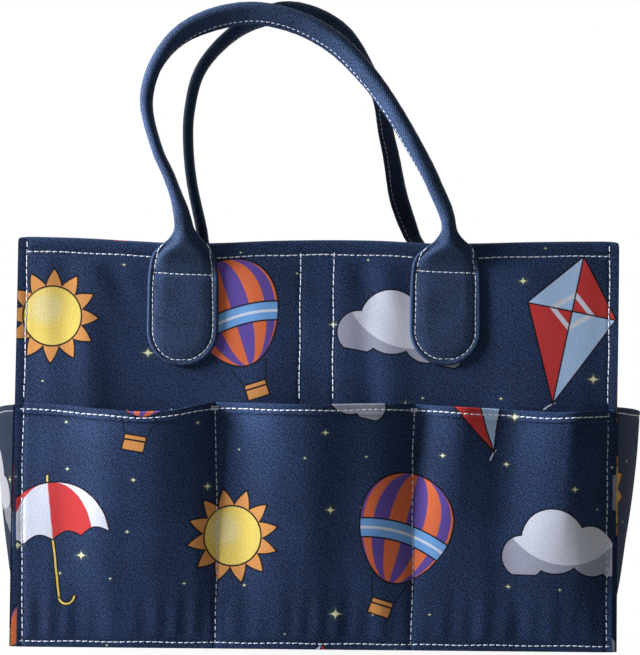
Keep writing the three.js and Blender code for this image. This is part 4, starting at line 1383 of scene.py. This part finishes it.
def side_runs(back):
    """The sewing of a side wall and its pocket."""
    reach, hem = SIDE_CORNER_Y - 5 * MM, RIM_Z - HEM_STITCH
    runs = [stitched(*both_sides(line_on(on_side_wall, (-reach, hem), (reach, hem)), back), HEM_PITCH)]
    along = (SIDE_POCKET_CORNER_Y - 3 * MM) * np.sin(np.linspace(-math.pi / 2, math.pi / 2, 400))
    mouth = SIDE_MOUTH[back]
    for v in (1 - POCKET_HEM_STITCH / mouth, BOTTOM_STITCH / mouth):
        here = side_pocket_place(along, along * 0 + v, False, back)
        higher = side_pocket_place(along, along * 0 + v + 0.004, False, back)
        away = np.cross(np.gradient(here, axis=0), higher - here)
        runs.append(stitched(*both_sides((here, away), back), HEM_PITCH))
    return runs


for side, back in (("front", False), ("back", True)):
    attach(sewing(f"{side}_wall_stitches", wall_runs(side, back)), "bag")
for side, back in (("right", False), ("left", True)):
    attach(sewing(f"{side}_side_stitches", side_runs(back)), "bag")


def handle_runs(side, arch, rise, twist, press, facing):
    """A handle's sewing: round each tab, across it under the puffed neck, and along both faces of the lip."""
    rings, path = handle_rings(side, arch, rise, twist, press, facing)
    w, share = path[:, 4], path[:, 5]
    away = np.cross(np.roll(rings, -1, 1) - np.roll(rings, 1, 1), np.gradient(rings, axis=0))
    away /= np.maximum(np.linalg.norm(away, axis=-1), 1e-12)[..., None]
    away *= np.sign((away * (rings - rings.mean(1)[:, None])).sum(-1))[..., None]
    runs = []

    def on_ring(row, angle):
        """The point and outward direction at an angle round a row of the handle."""
        place = (angle % math.tau) / math.tau * AROUND
        first, part = int(place) % AROUND, place - int(place)
        second = (first + 1) % AROUND
        return (rings[row, first] * (1 - part) + rings[row, second] * part,
                away[row, first] * (1 - part) + away[row, second] * part)

    for tab, lean in (("left", CROSS_SLANT), ("right", -CROSS_SLANT)):
        rows = np.flatnonzero(((share < 0.5) == (tab == "left")) & (w < -2.2 * MM))
        rows = rows[np.argsort(w[rows])]
        half = tab_half(w[:, None], tab)[:, 0]
        inset = TAB_STITCH * (1 - 0.75 * smooth(w, -12 * MM, -2 * MM))
        centre = TAB_BOTTOM[tab] - HINGE_Z + TAB_HALF
        round_half = np.sqrt(np.clip((TAB_HALF - TAB_STITCH) ** 2 - (w - centre) ** 2, 0, None))
        seam_half = np.where(w < centre, round_half, half - inset)
        usable = rows[seam_half[rows] > 1.5 * MM]
        edges = []
        for sign in (-1, 1):
            angles = [math.acos(np.clip(sign * seam_half[row] / half[row], -1, 1)) for row in usable]
            edges.append([on_ring(row, angle)[0] for row, angle in zip(usable, angles)])
        runs.append(stitched(edges[0][::-1] + edges[1], (0, facing, 0)))
        seam = []
        for a in np.linspace(-0.9, 0.9, 40) * 21.6 * MM:
            level = CROSS_STITCH[tab] + lean * a
            row = rows[np.argmin(np.abs(w[rows] - level))]
            point, _ = on_ring(row, math.acos(np.clip(a / half[row], -1, 1)))
            point[2] = HINGE_Z + level
            seam.append(point)
        runs.append(stitched(seam, (0, facing, 0)))
    lip = lip_angle(twist, share)
    seam_turn = math.atan2(LIP_SEAM_OUT, LIP_OUT - LIP_SEAM_IN)
    for sign in (-1, 1):
        spots = [on_ring(row, lip[row] + sign * seam_turn) for row in np.flatnonzero(w > 12 * MM)]
        runs.append(stitched(*zip(*spots), 3.4 * MM, 0.9 * MM))
    return runs


for shape in HANDLES:
    bend(sewing(f"{shape[0]}_handle_stitches", handle_runs(*shape), HANDLE_THREAD), shape[0], shape[-1])

# Plain studio light: a key lamp at the left that grazes the front, weaker lamps over the left side, the back
# and the top, and a pale world. The floor is white and keeps the bag's soft shadow.
LAMPS = {"key lamp": ((-2.42, -0.5, 1.05), 0.9, 198, (0.93, 0.99, 1.18)),
         "side lamp": ((-2.4, 0.9, 1.2), 1.2, 52, (1, 1, 1)),
         "back lamp": ((1.7, 1.9, 1.6), 1.4, 26, (1, 1, 1)),
         "top lamp": ((0.3, 0.4, 2.6), 1.6, 22, (1, 1, 1))}
KEY_SHADED = ("left_wall_cloth", "left_pocket_cloth", "left_side_stitches", "right_wall_cloth",
              "right_lining_cloth", "divider_cloth", "back_handle_cloth", "back_handle_stitches")
WORLD_LIGHT = 0.06
LIT_MIDDLE = Vector((0, 0, 0.2))

for name, (place, size, power, tint) in LAMPS.items():
    lamp = bpy.data.objects.new(name, bpy.data.lights.new(name, "AREA"))
    lamp.data.size = size
    lamp.data.energy = power
    lamp.data.color = tint
    lamp.location = place
    lamp.rotation_euler = (LIT_MIDDLE - Vector(place)).to_track_quat("-Z", "Y").to_euler()
    scene.collection.objects.link(lamp)

# A flag keeps the key lamp, which is strong so that it can graze the front, off the pieces that face it.
flagged = bpy.data.collections.new("flagged off the key lamp")
for name in KEY_SHADED:
    flagged.objects.link(bpy.data.objects[name])
bpy.data.objects["key lamp"].light_linking.receiver_collection = flagged
for kept_out in flagged.collection_objects:
    kept_out.light_linking.link_state = "EXCLUDE"

# The world and the floor are plain white to the camera. To other rays the world is pale and faint and the
# floor grey, so that they light the bag only a little.
WHITE, WARM_WHITE = (1, 1, 1, 1), (1, 0.97, 0.9, 1)
FLOOR_REACH = 40.0
FLOOR_GREY = (0.23, 0.23, 0.23, 1)

world = bpy.data.worlds.new("studio")
world.use_nodes = True
scene.world = world
world.node_tree.nodes.clear()
air = Wire(world.node_tree)
seen_by = air.node("ShaderNodeLightPath")
passing = other_output(seen_by, "Is Transmission Ray")
white = air.node("ShaderNodeBackground", {"Color": WHITE, "Strength": 1.0})
light = air.node("ShaderNodeBackground", {"Color": WARM_WHITE, "Strength": WORLD_LIGHT})
shown = air.node("ShaderNodeMixShader", {0: seen_by + passing, 1: light, 2: white})
air.node("ShaderNodeOutputWorld", {0: shown})

floor_mesh = bpy.data.meshes.new("floor")
corners = [(x * FLOOR_REACH, y * FLOOR_REACH, 0) for x, y in ((-1, -1), (1, -1), (1, 1), (-1, 1))]
floor_mesh.from_pydata(corners, [], [(0, 1, 2, 3)])
floor_finish, floor_start, floor_shader = finish("floor")
floor_shader.inputs["Base Color"].default_value = FLOOR_GREY
floor_shader.inputs["Roughness"].default_value = 0.9
floor_path = floor_start.node("ShaderNodeLightPath")
glow = floor_start.node("ShaderNodeEmission", {"Color": WHITE, "Strength": 1.0})
plain = Wire(floor_start.tree, floor_shader.outputs[0])
floor_place = floor_start.node("ShaderNodeTexCoord", output=3)
away = floor_start.node("ShaderNodeVectorMath", {0: floor_place}, output=1, operation="LENGTH")
bare = floor_start.maths("ADD", away * 0.9, 0.8, use_clamp=True)
floor_mix = floor_start.node("ShaderNodeMixShader", {0: floor_path * bare, 1: plain, 2: glow})
floor_start.tree.links.new(floor_mix.socket, floor_start.tree.nodes["Material Output"].inputs[0])
floor_mesh.materials.append(floor_finish)
floor = bpy.data.objects.new("floor", floor_mesh)
scene.collection.objects.link(floor)

scene.view_settings.view_transform = "Standard"
